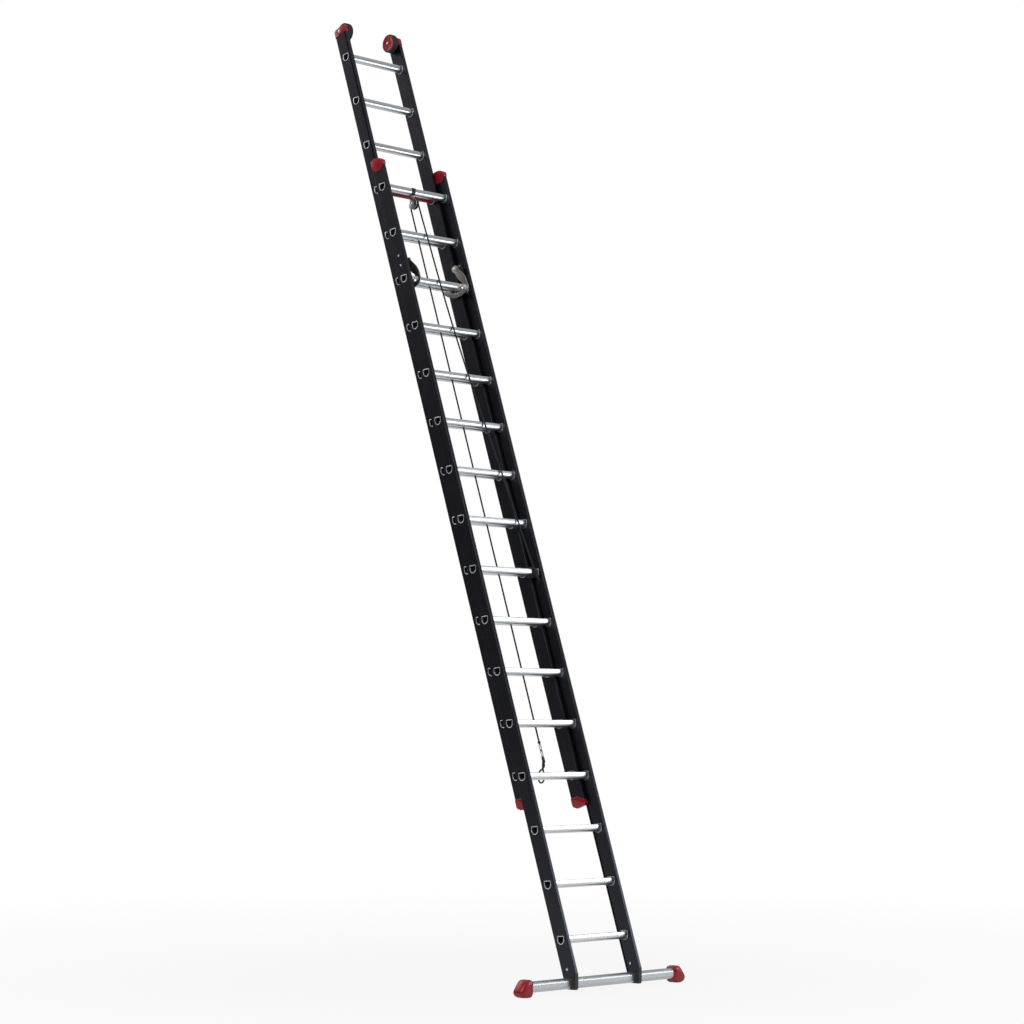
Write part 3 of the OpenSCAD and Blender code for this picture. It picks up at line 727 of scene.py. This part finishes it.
# one rung's skin, through two stiles of the given webs, about its own middle
def rungShape(webIn, webOut):
    proud, rim, wall = rungSet["proud"], rungSet["rim"], rungSet["wall"]
    groove = rungSet["ribDepth"]
    out, gap = rungSet["rimOut"], rungSet["gap"]
    end = [                                # x outwards from a web and growth, from inside the tube's mouth
        (webOut - 6, -wall, 0), (webOut + proud * 0.6, -wall, 0), (webOut + proud * 0.9, -wall + 0.5, 0),
        (webOut + proud, -wall + 1.4, 0), (webOut + proud, out - 1.4, 0),
        (webOut + proud * 0.75, out - 0.4, 0),
        (webOut + 0.02, out, 0), (webOut - 3, 0, 0), (webIn + 1, 0, 0), (webIn - 0.02, rim, 0),
        (webIn - proud * 0.75, rim - 0.3, 0), (webIn - proud, rim - 0.9, 0),
        (webIn - proud * 0.8, gap + 0.2, 0),
        (webIn - 0.1, gap, 0), (webIn - 0.1, 0, 0), (webIn - 6, 0, 0), (webIn - 7.5, 0, groove),
    ]
    rows = [(x, g, d) for x, g, d in end] + [(-x, g, d) for x, g, d in reversed(end)]
    loops = []
    for x, g, d in rows:
        loops.append([(x, y, s) for y, s in rungOutline(g, d)])
    shape = Shape()
    shape.loft(loops, joined=True)
    return shape


# slot 0 is the tube, slot 1 its swaged rims and slot 2 its bore, painted near-black as painted shade inside the
# tube
def paintZones(pattern):
    pattern.data.materials.append(rungAluminium)
    pattern.data.materials.append(paintedShadeBore)
    n = len(rungOutline())
    for face in pattern.data.polygons:
        ring = face.index // n
        ring = 0 if ring == 33 else min(ring, 32 - ring)
        face.material_index = 2 if ring == 0 else 1 if ring < 13 else 0


# black ring round a rung on each inner web: painted shadow of the gap between rung and rim
def gapShadeShape(webIn, webOut):
    shape = Shape()
    for sign in (1, -1):
        ring = []
        for x, g in ((webIn + 0.5, 0.05), (webIn + 0.5, rungSet["gap"] + 0.4),
                     (webIn - 0.9, rungSet["gap"] + 0.4),
                     (webIn - 1.2, rungSet["gap"] / 2), (webIn - 0.9, 0.05)):
            ring.append([(sign * x, y, s) for y, s in rungOutline(g)])
        shape.loft(ring, joined=True)
    return shape


# repeats one rung up the stiles: a count, a pitch and the number of the first one
def rungTree():
    tree = bpy.data.node_groups.new("rungRow", "GeometryNodeTree")
    for label, kind in (("Geometry", "NodeSocketGeometry"), ("Rung", "NodeSocketObject"),
                        ("Count", "NodeSocketInt"),
                        ("Start", "NodeSocketVector"), ("Pitch", "NodeSocketVector"),
                        ("Finish", "NodeSocketMaterial")):
        tree.interface.new_socket(label, in_out="INPUT", socket_type=kind)
    tree.interface.new_socket("Geometry", in_out="OUTPUT", socket_type="NodeSocketGeometry")
    entry, result = tree.nodes.new("NodeGroupInput"), tree.nodes.new("NodeGroupOutput")
    row = addNode(tree, "GeometryNodeMeshLine", mode="OFFSET")
    tree.links.new(entry.outputs["Count"], row.inputs["Count"])
    tree.links.new(entry.outputs["Start"], row.inputs["Start Location"])
    tree.links.new(entry.outputs["Pitch"], row.inputs["Offset"])
    source = addNode(tree, "GeometryNodeObjectInfo")
    tree.links.new(entry.outputs["Rung"], source.inputs["Object"])
    copies = addNode(tree, "GeometryNodeInstanceOnPoints")
    tree.links.new(row.outputs["Mesh"], copies.inputs["Points"])
    tree.links.new(source.outputs["Geometry"], copies.inputs["Instance"])
    real = addNode(tree, "GeometryNodeRealizeInstances")
    tree.links.new(copies.outputs["Instances"], real.inputs["Geometry"])
    index = addNode(tree, "GeometryNodeInputMaterialIndex")
    tube = addNode(tree, "FunctionNodeCompare", data_type="INT", operation="EQUAL")
    tree.links.new(index.outputs["Material Index"], [i for i in tube.inputs if i.type == "INT"][0])
    paint = addNode(tree, "GeometryNodeSetMaterial")
    tree.links.new(tube.outputs["Result"], paint.inputs["Selection"])
    tree.links.new(real.outputs["Geometry"], paint.inputs["Geometry"])
    tree.links.new(entry.outputs["Finish"], paint.inputs["Material"])
    tree.links.new(paint.outputs["Geometry"], result.inputs["Geometry"])
    return tree


# runs a tree on an empty mesh with the given inputs, and keeps the result as a plain mesh
def grow(name, tree, values):
    holder = bpy.data.objects.new(name, bpy.data.meshes.new(name))
    bpy.context.scene.collection.objects.link(holder)
    modifier = holder.modifiers.new("grow", "NODES")
    modifier.node_group = tree
    for item in tree.interface.items_tree:
        if item.in_out == "INPUT" and item.name in values:
            modifier[item.identifier] = values[item.name]
    bpy.context.view_layer.update()
    graph = bpy.context.evaluated_depsgraph_get()
    mesh = bpy.data.meshes.new_from_object(holder.evaluated_get(graph))
    holder.modifiers.remove(modifier)
    holder.data = mesh
    mesh.name = name
    return holder


def makeRungs():
    tree = rungTree()
    turned = toRow.to_3x3().to_4x4()
    patterns = {}
    for section, webIn, webOut in (("base", baseIn, baseOut), ("fly", flyIn, flyOut)):
        patterns[section] = rungShape(webIn, webOut).make(section + "Pattern", rungAluminium,
                                                          matrix=turned, sharp=40)
        paintZones(patterns[section])
        # black rings at the inner webs, painted shadow of the gap round each rung
        gapShades = gapShadeShape(webIn, webOut)
        patterns[section + "GapShade"] = gapShades.make(section + "CollarPattern", blackPlastic,
                                                    matrix=turned, sharp=40)
    rows = [
        ("baseRungs", "base", 1, 16, rungAluminium, "rung_aluminium"),
        ("slidingRungsLower", "fly", 1, 12, rungAluminium, "rung_aluminium"),
        ("slidingRungRed", "fly", 13, 1, redCoat, "red_rung"),
        ("slidingRungsUpper", "fly", 14, 3, rungAluminium, "rung_aluminium"),
        # the black-plastic rows of rings are painted shadow of the gap round each rung
        ("baseCollars", "baseGapShade", 1, 16, blackPlastic, "black_plastic"),
        ("slidingCollars", "flyGapShade", 1, 16, blackPlastic, "black_plastic"),
    ]
    for name, pattern, first, count, finish, slot in rows:
        onBase = pattern.startswith("base")
        start = inRow(0, 0, baseRungS(first)) if onBase else inRow(0, flyY, flyRungS(first))
        piece = grow(name, tree, {"Rung": patterns[pattern], "Count": count, "Start": start,
                                  "Pitch": rungStep,
                                  "Finish": finish})
        numbers = range(first, first + count)
        if pattern == "base":
            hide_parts(*["base_rung_%02d" % k for k in numbers])
        if pattern == "fly":
            flyNodes = [n for n in frame["nodes"] if n.startswith("fly_rung")]
            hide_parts(*[n for n in flyNodes if int(n.split("_")[2]) in numbers])
        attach(piece, "base_section" if onBase else "fly_section")
    for pattern in patterns.values():
        bpy.data.objects.remove(pattern)


makeRungs()


print("stage: caps")

capSet = {
    "wall": 2.5,
    "edge": 3.2,
    "baseCap": [          # distance behind the stile's middle, height above its end, and corner radius
        (-47.5, -14, 3), (-47.5, 3, 6), (-39, 12, 8), (-20, 27, 14), (4, 34, 14), (26, 36, 12), (43, 31, 8),
        (47.5, 20, 6), (47.5, -4, 8), (24, -40, 10), (-10, -43, 10), (-34, -34, 8),
    ],
    "slidingCap": [
        (-45, -6, 1), (-45, 27, 5), (-40, 37, 5), (-28, 41, 8), (34, 40, 8), (43, 34, 6), (47, 24, 5),
        (47, -6, 1),
    ],
    "slidingFoot": [
        (-45, 18, 2), (-45, -6, 3), (-37, -12, 4), (24, -12, 6), (47.5, 8, 8), (47.5, 48, 2), (-5, 44, 10),
    ],
}


def finishPiece(shape, name, material, nodes, body, matrix=toRow, sharp=32):
    piece = shape.make(name, material, matrix=matrix, sharp=sharp)
    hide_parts(*nodes)
    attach(piece, body)
    return piece


def placedOutline(corners, y, s, steps=6):
    return [(y + a, s + b) for a, b in roundedOutline(corners, steps)]


def sideName(sign):
    return "right" if sign > 0 else "left"


def makeCaps():
    wall, edge = capSet["wall"], capSet["edge"]
    baseEnd = max(onLadder(frame["nodes"]["base_stile_right"].matrix_world @ v.co).z
                  for v in frame["nodes"]["base_stile_right"].data.vertices)
    flyPoints = [onLadder(frame["nodes"]["fly_stile_right"].matrix_world @ v.co).z
                 for v in frame["nodes"]["fly_stile_right"].data.vertices]
    flyEnd, flyStart = max(flyPoints), min(flyPoints)
    for sign in (1, -1):
        side = sideName(sign)
        cap = Shape()
        cap.slab(placedOutline(capSet["baseCap"], 0, baseEnd), sign * (baseIn - wall),
                 sign * (baseOut + wall), edge, 4)
        lip = roundedOutline([(30, baseEnd - 45, 1), (37, baseEnd - 45, 1), (37, baseEnd + 5, 1),
                              (30, baseEnd + 5, 1)], 2)
        cap.slab(lip, sign * (flyOut - 2.5), sign * (baseIn - wall + 1), 0.6)
        screw = [(0, 0.9), (4.0, 0.9), (5.2, 0), (5.2, -1), (0, -1)]
        cap.turn([(r, sign * h) for r, h in screw], (sign * (baseOut + wall), 8, baseEnd - 12), steps=24)
        finishPiece(cap, "topCap_" + side, redPlastic, ["base_top_cap_" + side], "base_section")
        block = Shape()
        block.slab(placedOutline(capSet["slidingCap"], flyY, flyEnd), sign * (flyIn - wall),
                   sign * (flyOut + wall), edge, 4)
        finishPiece(block, "wheelBlock_" + side, redPlastic, ["fly_top_cap_" + side], "fly_section")
        foot = Shape()
        foot.slab(placedOutline(capSet["slidingFoot"], flyY, flyStart), sign * (flyIn - wall),
                  sign * (flyOut + wall), edge, 4)
        tongue = roundedOutline([(30.5, flyStart - 4, 2), (37.5, flyStart - 4, 2), (37.5, flyStart + 32, 2),
                                 (30.5, flyStart + 32, 2)], 3)
        foot.slab(tongue, sign * flyOut, sign * (baseIn + 2.5), 0.8)
        finishPiece(foot, "slidingFoot_" + side, redPlastic, ["fly_foot_" + side], "fly_section")


makeCaps()

stabiliserSet = {
    "corner": 24,
    "levels": [           # height, start and end along the bar from the mouth, share of the depth
        (0, 16, 64, 0.88), (1.5, 13, 67, 0.93), (8, 6, 81, 0.99), (18, 1, 88, 1.0), (26, 0, 90, 1.0),
        (38, 0, 85, 1.0),
        (52, 0, 74, 1.0), (66, 0, 64, 0.99), (75, 2, 57, 0.94), (80, 6, 52, 0.85), (83, 12, 46, 0.68),
    ],
}


# plan of a foot at one height, with rounded corners
def footRing(x0, x1, y, halfDepth, corner, z, sign):
    r = min(corner, (x1 - x0) / 2 - 0.5, halfDepth - 0.5)
    corners = [(x0, y - halfDepth, r * 0.7), (x1, y - halfDepth, r), (x1, y + halfDepth, r),
               (x0, y + halfDepth, r * 0.7)]
    return [(sign * a, b, z) for a, b in roundedOutline(corners, 7)]


def makeStabiliserFeet():
    for sign in (1, -1):
        side = sideName(sign)
        low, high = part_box("stabiliser_foot_" + side)
        mouth = min(abs(low.x), abs(high.x)) / mm
        middle = (low.y + high.y) / 2 / mm
        half = (high.y - low.y) / 2 / mm
        foot = Shape()
        rings = []
        for z, x0, x1, share in stabiliserSet["levels"]:
            rings.append(footRing(mouth + x0, mouth + x1, middle, half * share, stabiliserSet["corner"],
                                  z, sign))
        foot.loft(rings)
        for k in range(3):                                   # ribs of the sole's edge
            z = 6 + 5 * k
            foot.block((sign * (mouth + 30) - 12, middle - half - 0.6, z),
                       (sign * (mouth + 30) + 12, middle - half + 4, z + 2), 0.5)
        finishPiece(foot, "barFoot_" + side, redPlastic, ["stabiliser_foot_" + side], "base_section",
                    matrix=Matrix.Scale(mm, 4), sharp=50)


makeStabiliserFeet()

print("stage: hooks")

hookSet = {
    "thick": 6,
    "arm": 26,
    "reach": 53,
    "front": 63,          # front of the arm before the pivot
    "bend": 30,
    "clear": 26,          # inner edge before the base rung's middle
}


def hookOutline(pivot, rise):
    inner = rise + rungSet["width"] / 2 + 0.5
    outer = inner + hookSet["arm"]
    out = hookSet["front"]
    bendY, bendS = hookSet["bend"] - out, -rise - 11
    spots = [(25, 12, 6), (25, -8, 6), (9, -0.23 * rise, 12), (2, -0.45 * rise, 20), (-8, -0.65 * rise, 20),
             (-hookSet["clear"], -rise + 18, 10)]
    corners = [(-13, 18, 5), (19, 18, 6)] + spots + [(-hookSet["clear"], -rise - 21, 0)]
    line = roundedOutline(corners, 4)
    # back along the ring's inner edge to the tip, round it, and forward along the outer edge
    start = math.degrees(math.atan2(-math.sqrt(inner ** 2 - hookSet["clear"] ** 2), -hookSet["clear"]))
    end = -90 + hookSet["reach"]
    ring = arc((0, 0), inner, start, end, 26)
    tipR = hookSet["arm"] / 2
    tipMiddle = ((inner + tipR) * math.cos(math.radians(end)), (inner + tipR) * math.sin(math.radians(end)))
    tip = arc(tipMiddle, tipR, end + 180, end, 10)[1:-1]
    outerStart = math.degrees(math.atan2(bendS - 0.8 * hookSet["bend"], bendY - 0.15 * hookSet["bend"]))
    back = arc((0, 0), outer, end, outerStart, 24)
    bend = arc((bendY, bendS), hookSet["bend"], 244, 180, 8)
    front = [(-0.985 * out, -0.80 * rise), (-0.95 * out, -0.70 * rise), (-0.84 * out, -0.51 * rise),
             (-0.67 * out, -0.34 * rise), (-0.48 * out, -0.17 * rise), (-20, -4), (-19, 12)]
    outline = line + ring[1:] + tip + back + bend + front
    return [(pivot[0] + y, pivot[1] + s) for y, s in outline]


def makeHooks():
    for sign in (1, -1):
        side = sideName(sign)
        joint = next(j for j in frame["joints"] if j["name"] == "hook_%s_swing" % side)
        pivot = onLadder(joint["pos_m"])
        rise = pivot.z - baseRungS(14)
        x0 = min(abs(v.x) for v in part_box("hook_" + side)) / mm
        plate = Shape()
        plate.slab(hookOutline((pivot.y, pivot.z), rise), sign * x0, sign * (x0 + hookSet["thick"]), 1.0, 3)
        finishPiece(plate, "latchHook_" + side, hookSteel, ["hook_" + side], side + "_hook",
                    sharp=40)


makeHooks()


# domed head with a washer, on the +X or -X side of a web
def addHead(shape, sign, x, y, s, r, h):
    washer = [(r * 1.25, 0), (r * 1.25, 0.9), (r, 1.1)]
    profile = [(0, 0)] + washer + [(r, h * 0.35), (r * 0.86, h * 0.72), (r * 0.5, h * 0.95), (0, h)]
    shape.turn([(a, sign * b) for a, b in profile], (x, y, s), steps=28)


# six-sided nut with chamfered corners and a stub of thread
def addNut(shape, sign, x, y, s, r, h):
    loops = []
    for grow, height in ((0.6, 0.0), (1.0, 0.01), (1.0, h * 0.85), (0.86, h), (0.5, h), (0.45, h + 1.6),
                         (0.3, h + 2)):
        loop = []
        for k in range(24):
            a = 2 * math.pi * k / 24
            six = math.cos(math.pi / 6) / math.cos((a + math.pi / 6) % (math.pi / 3) - math.pi / 6)
            reach = r * grow * (six if grow > 0.8 else 1.0)
            loop.append((x + sign * height, y + reach * math.cos(a), s + reach * math.sin(a)))
        loops.append(loop)
    shape.loft(loops)


holderSet = {
    "plate": 4,
    "bolts": (23, -36),   # heights over the pivot
}


def makeHookHolders():
    joint = next(j for j in frame["joints"] if j["name"] == "hook_right_swing")
    pivot = onLadder(joint["pos_m"])
    hookIn, hookOut = (v / mm for v in sorted(abs(c.x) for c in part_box("hook_right")))
    holders, bolts, pins = Shape(), Shape(), Shape()
    for sign in (1, -1):
        plate = placedOutline([(-17, -51, 8), (17, -51, 8), (17, 38, 8), (-17, 38, 8)], 0, pivot.z)
        holders.slab(plate, sign * (baseIn - holderSet["plate"]), sign * baseIn, 1.0, 3)
        boss = [(6.2, hookOut + 0.3), (13, hookOut + 0.3), (14, hookOut + 1.3), (14, baseIn - 8),
                (16.5, baseIn - 4)]
        holders.turn([(r, sign * x) for r, x in boss + [(6.2, baseIn - 4)]], (0, 0, pivot.z), steps=40)
        for rise in holderSet["bolts"]:
            addHead(bolts, sign, sign * baseOut, 0, pivot.z + rise, 5.2, 3.6)
            addNut(bolts, -sign, sign * (baseIn - 4), 0, pivot.z + rise, 6.6, 5)
        addHead(pins, -sign, sign * (hookIn - 0.2), 0, pivot.z, 8.4, 4.6)
    finishPiece(holders, "hookHolders", blackPlastic, ["hook_brackets"], "base_section")
    finishPiece(bolts, "holderBolts", fastenerSteel, ["hook_bolts"], "base_section")
    finishPiece(pins, "hookPins", fastenerSteel, ["hook_pins"], "base_section")


makeHookHolders()

print("stage: pulley")

pulleySet = {
    "cheek": 2.5,
    "inside": 8,
    "lowR": 34,
    "highR": 24,
    "strap": 2.5,
    "halfStrap": 12,
    "grooveR": 5.2,
}


def makePulley():
    joint = next(j for j in frame["joints"] if j["name"] == "sheave_spin")
    middle = onLadder(joint["pos_m"])
    top = baseRungS(16) - rungSet["width"] / 2 - pulleySet["strap"] - 2
    wheel = Shape()
    reach, grooveR = ropeRoutes["pitchRadius"], pulleySet["grooveR"]
    turns = [math.radians(a) for a in range(110, 251, 20)]
    groove = [(reach + grooveR * math.cos(a), grooveR * math.sin(a)) for a in turns]
    face = [(4.1, 7), (9, 7), (10, 5), (22, 5), (24, 7), (33, 7), (33.5, 6.2)]
    profile = face + groove + [(r, -h) for r, h in reversed(face)]
    wheel.turn(profile, middle, steps=56, joined=True)
    finishPiece(wheel, "pulleyWheel", blackPlastic, ["sheave"], "pulley_wheel")
    cheeks = Shape()
    low = arc((middle.y, middle.z), pulleySet["lowR"], 185, 355, 26)
    high = arc((middle.y, top - pulleySet["highR"]), pulleySet["highR"], 8, 172, 18)
    for sign in (1, -1):
        x = middle.x + sign * pulleySet["inside"]
        cheeks.slab(low + high, x, x + sign * pulleySet["cheek"], 0.9, 3)
    yoke = placedOutline([(-10, middle.z + 38, 2), (10, middle.z + 38, 2), (10, top, 2), (-10, top, 2)],
                         middle.y, 0)
    cheeks.slab(yoke, middle.x - pulleySet["inside"], middle.x + pulleySet["inside"], 0.4)
    finishPiece(cheeks, "pulleyCheeks", zincPlate, ["pulley_cheeks"], "base_section")
    axle = Shape()
    for sign in (1, -1):
        addHead(axle, sign, middle.x + sign * (pulleySet["inside"] + pulleySet["cheek"]), middle.y,
                middle.z, 5.4, 2.4)
    finishPiece(axle, "pulleyPin", fastenerSteel, ["pulley_axle"], "base_section")
    strap = Shape()
    half = pulleySet["halfStrap"]
    rings = []
    for x, g in ((-half, 0.2), (-half, 2.0), (-half + 0.7, 2.6), (half - 0.7, 2.6), (half, 2.0),
                 (half, 0.2)):
        rings.append([(middle.x + x, y, baseRungS(16) + s) for y, s in rungOutline(g)])
    strap.loft(rings, joined=True)
    finishPiece(strap, "rungStrap", blackPlastic, ["pulley_clip"], "base_section",
                sharp=40)


makePulley()

print("stage: wheels")

wheelSet = {
    "r": 52,
    "tyre": 8,
    "width": 32,
    "hubWidth": 35,
    "grooves": 4,
}


def makeWheels():
    r, hub = wheelSet["r"], wheelSet["r"] - wheelSet["tyre"]
    bolts = Shape()
    for sign in (1, -1):
        side = sideName(sign)
        joint = next(j for j in frame["joints"] if j["name"] == "wheel_%s_spin" % side)
        middle = onLadder(joint["pos_m"])
        innerX = min(abs(v.x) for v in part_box("wheel_hub_" + side)) / mm
        start = innerX + 1.5
        tread = [(hub + 0.05, start), (r - 3.5, start), (r - 0.8, start + 1.6), (r, start + 4)]
        for k in range(wheelSet["grooves"]):
            x = start + 7 + k * 5.6
            tread += [(r, x), (r - 1.2, x + 0.5), (r - 1.2, x + 1.3), (r, x + 1.8)]
        width = wheelSet["width"]
        tread += [(r, start + width - 4), (r - 0.8, start + width - 1.6), (r - 3.5, start + width),
                  (hub + 0.05, start + width)]
        tyre = Shape()
        tyre.turn([(a, sign * x) for a, x in tread], (0, middle.y, middle.z), steps=72, joined=True)
        finishPiece(tyre, "wheelTyre_" + side, tyreRubber, ["wheel_tyre_" + side], side + "_wheel")
        wide = wheelSet["hubWidth"]
        disc = [(5.1, 0), (13, 0), (14.5, 1.2), (16, 2.2), (30, 2.2), (33, 0.4), (42, 0.2), (43.8, 1.6),
                (44, wide), (40, wide),
                (40, 6), (14, 6), (14, wide), (5.1, wide)]
        face = Shape()
        face.turn([(a, sign * (innerX + x)) for a, x in disc], (0, middle.y, middle.z), steps=72,
                  joined=True)
        for k in range(6):                                   # ribs on the hub's face
            a = 2 * math.pi * k / 6 + 0.2
            along, across = Vector((math.cos(a), math.sin(a))), Vector((-math.sin(a), math.cos(a)))
            corners = ((15, -2), (32, -1.6), (32, 1.6), (15, 2))
            spots = [Vector((middle.y, middle.z)) + along * u + across * v for u, v in corners]
            face.slab([tuple(p) for p in spots], sign * (innerX + 0.5), sign * (innerX + 3), 0.5)
        finishPiece(face, "wheelHub_" + side, redHub, ["wheel_hub_" + side], side + "_wheel")
        addHead(bolts, sign, sign * (flyOut + capSet["wall"]), middle.y, middle.z, 7.5, 4)
        addNut(bolts, -sign, sign * (innerX - 0.5), middle.y, middle.z, 8.5, 4)
        shaft = [(0, innerX - 4), (4.9, innerX - 4), (4.9, flyOut + 2), (0, flyOut + 2)]
        bolts.turn([(a, sign * x) for a, x in shaft], (0, middle.y, middle.z), steps=24)
    finishPiece(bolts, "wheelBolts", fastenerSteel, ["wheel_axles"], "fly_section")


makeWheels()

print("stage: fittings")


fittingSet = {
    "sleeves": (1232, 1268),                       # lower ends of the crimped sleeves
    "beads": ((1302, 8.4, 13), (1261.5, 6.2, 5)),  # lower end, radius and length of the beads
    "cover": 1199.5,
}


def makeFittings():
    x, y = ropeRoutes["sheaveX"], ropeRoutes["haulY"]
    sleeves = Shape()
    for s in fittingSet["sleeves"]:
        crimps = [(4.7, 0), (6.4, 0), (7, 0.8)]
        for k in range(3):
            h = 4 + k * 7.5
            crimps += [(7, h), (6.1, h + 1.2), (6.1, h + 3.4), (7, h + 4.6)]
        crimps += [(7, 27.2), (6.4, 28), (4.7, 28)]
        sleeves.turn(crimps, (x, y, s), axis="s", steps=32, joined=True)
    finishPiece(sleeves, "ropeSleeves", zincPlate, ["rope_ferrules"], "fly_section")
    stops = Shape()
    for s, r, h in fittingSet["beads"]:
        bead = [(4.4, 0), (r * 0.8, h * 0.12), (r, h * 0.4), (r * 0.94, h * 0.5), (r, h * 0.62),
                (r * 0.78, h * 0.9), (4.4, h)]
        stops.turn(bead, (x, y, s), axis="s", steps=24, joined=True)
    cover = [(4.6, 0), (7.2, 0.8), (7.8, 4), (7.8, 24), (7.0, 30), (4.6, 31)]
    stops.turn(cover, (x, y, fittingSet["cover"]), axis="s", steps=24, joined=True)
    piece = stops.make("ropeStops", blackPlastic)
    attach(piece, "fly_section")
    bolts = Shape()
    low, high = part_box("bracket_bolts")
    spot = onLadder((0, (low.y + high.y) / 2, (low.z + high.z) / 2))
    for sign in (1, -1):
        addHead(bolts, sign, sign * baseOut, spot.y, spot.z, 5.8, 3.8)
        addNut(bolts, -sign, sign * baseIn, spot.y, spot.z, 6.8, 4.6)
    finishPiece(bolts, "clampBolts", fastenerSteel, ["bracket_bolts"], "base_section")


makeFittings()

def dress(node, material):
    piece = frame["nodes"][node]
    piece.data.materials.clear()
    piece.data.materials.append(material)


finishBySlot = {
    "rung_aluminium": rungAluminium, "red_rung": redCoat, "stile_coating": stileCoat,
    "red_plastic": redPlastic,
    "black_plastic": blackPlastic, "bar_aluminium": barAluminium, "hook_steel": hookSteel,
    "fastener_steel": fastenerSteel, "zinc_plate": zincPlate, "tyre_rubber": tyreRubber, "red_hub": redHub,
    "black_rope": ropeBraid,
}
for part in frame["record"]["subparts"]:
    dress(part["node"], finishBySlot[part["material_slot"]])

print("stage: studio")

studio = {
    "floor": (0.62, 0.62, 0.62),
    "glowNear": 0.88,     # share of plain white in what is seen of the floor, at the feet
    "glowFar": 1.0,
    "shine": 0.60,        # how bright the near floor stands in reflections
    "sky": (1.0, 1.0, 1.0),
    "skyLow": 0.07,
    "skyHigh": 0.58,
    "lights": (           # name, place, size, power, colour
        ("keyLight", (-7.0, -5.0, 7.0), 2.6, 190, (1.0, 1.0, 1.0)),
        ("fillLight", (5.8, -6.4, 2.4), 3.4, 150, (0.84, 0.94, 1.0)),
        ("rimLight", (-2.0, 8.0, 7.0), 4.0, 120, (1.0, 1.0, 1.0)),
    ),
}


# sky that is plain white behind the object and dimmer, brighter overhead, as a light
def makeSky():
    world = bpy.data.worlds.new("studioSky")
    bpy.context.scene.world = world
    world.use_nodes = True
    tree = world.node_tree
    seen = tree.nodes["Background"]
    seen.inputs["Color"].default_value = (*studio["sky"], 1)
    seen.inputs["Strength"].default_value = 1.0
    light = addNode(tree, "ShaderNodeBackground")
    light.inputs["Color"].default_value = (*studio["sky"], 1)
    place = addNode(tree, "ShaderNodeTexCoord")
    split = addNode(tree, "ShaderNodeSeparateXYZ")
    tree.links.new(place.outputs["Generated"], split.inputs["Vector"])
    dim = remap(tree, split.outputs["Z"], studio["skyLow"], studio["skyHigh"], 0.05, 0.65)
    tree.links.new(dim, light.inputs["Strength"])
    ray = addNode(tree, "ShaderNodeLightPath")
    mix = addNode(tree, "ShaderNodeMixShader")
    tree.links.new(ray.outputs["Is Camera Ray"], mix.inputs["Fac"])
    tree.links.new(light.outputs["Background"], mix.inputs[1])
    tree.links.new(seen.outputs["Background"], mix.inputs[2])
    tree.links.new(mix.outputs["Shader"], tree.nodes["World Output"].inputs["Surface"])


def makeFloor():
    mesh = bpy.data.meshes.new("studioFloor")
    far = 60
    mesh.from_pydata([(-far, -far, 0), (far, -far, 0), (far, far, 0), (-far, far, 0)], [], [(0, 1, 2, 3)])
    floor = bpy.data.objects.new("studioFloor", mesh)
    bpy.context.scene.collection.objects.link(floor)
    material, tree, shader = newMaterial("paleFloor")
    shader.inputs["Base Color"].default_value = (*studio["floor"], 1)
    shader.inputs["Roughness"].default_value = 0.9
    shader.inputs["Specular IOR Level"].default_value = 0.0
    glow = addNode(tree, "ShaderNodeEmission")
    glow.inputs["Color"].default_value = (*studio["sky"], 1)
    glow.inputs["Strength"].default_value = 1.0
    ray = addNode(tree, "ShaderNodeLightPath")
    place = addNode(tree, "ShaderNodeTexCoord")
    away = addNode(tree, "ShaderNodeVectorMath", operation="LENGTH")
    tree.links.new(place.outputs["Object"], away.inputs[0])
    seen = addNode(tree, "ShaderNodeMath", operation="MULTIPLY")
    tree.links.new(ray.outputs["Is Camera Ray"], seen.inputs[0])
    tree.links.new(remap(tree, away.outputs["Value"], studio["glowNear"], studio["glowFar"], 1.0, 7.0),
                   seen.inputs[1])
    share = addNode(tree, "ShaderNodeMath", operation="MULTIPLY_ADD")
    tree.links.new(ray.outputs["Is Glossy Ray"], share.inputs[0])
    tree.links.new(remap(tree, away.outputs["Value"], studio["shine"], 0.0, 3.0, 12.0), share.inputs[1])
    tree.links.new(seen.outputs["Value"], share.inputs[2])
    mix = addNode(tree, "ShaderNodeMixShader")
    tree.links.new(share.outputs["Value"], mix.inputs["Fac"])
    tree.links.new(shader.outputs["BSDF"], mix.inputs[1])
    tree.links.new(glow.outputs["Emission"], mix.inputs[2])
    tree.links.new(mix.outputs["Shader"], tree.nodes["Material Output"].inputs["Surface"])
    mesh.materials.append(material)


def makeStudio():
    makeSky()
    makeFloor()
    for name, spot, size, power, colour in studio["lights"]:
        data = bpy.data.lights.new(name, "AREA")
        data.size = size
        data.energy = power
        data.color = colour
        lamp = bpy.data.objects.new(name, data)
        lamp.location = spot
        lamp.rotation_euler = (Vector((0, 0, 2.5)) - Vector(spot)).to_track_quat("-Z", "Y").to_euler()
        bpy.context.scene.collection.objects.link(lamp)
    bpy.context.scene.view_settings.view_transform = "Standard"


makeStudio()
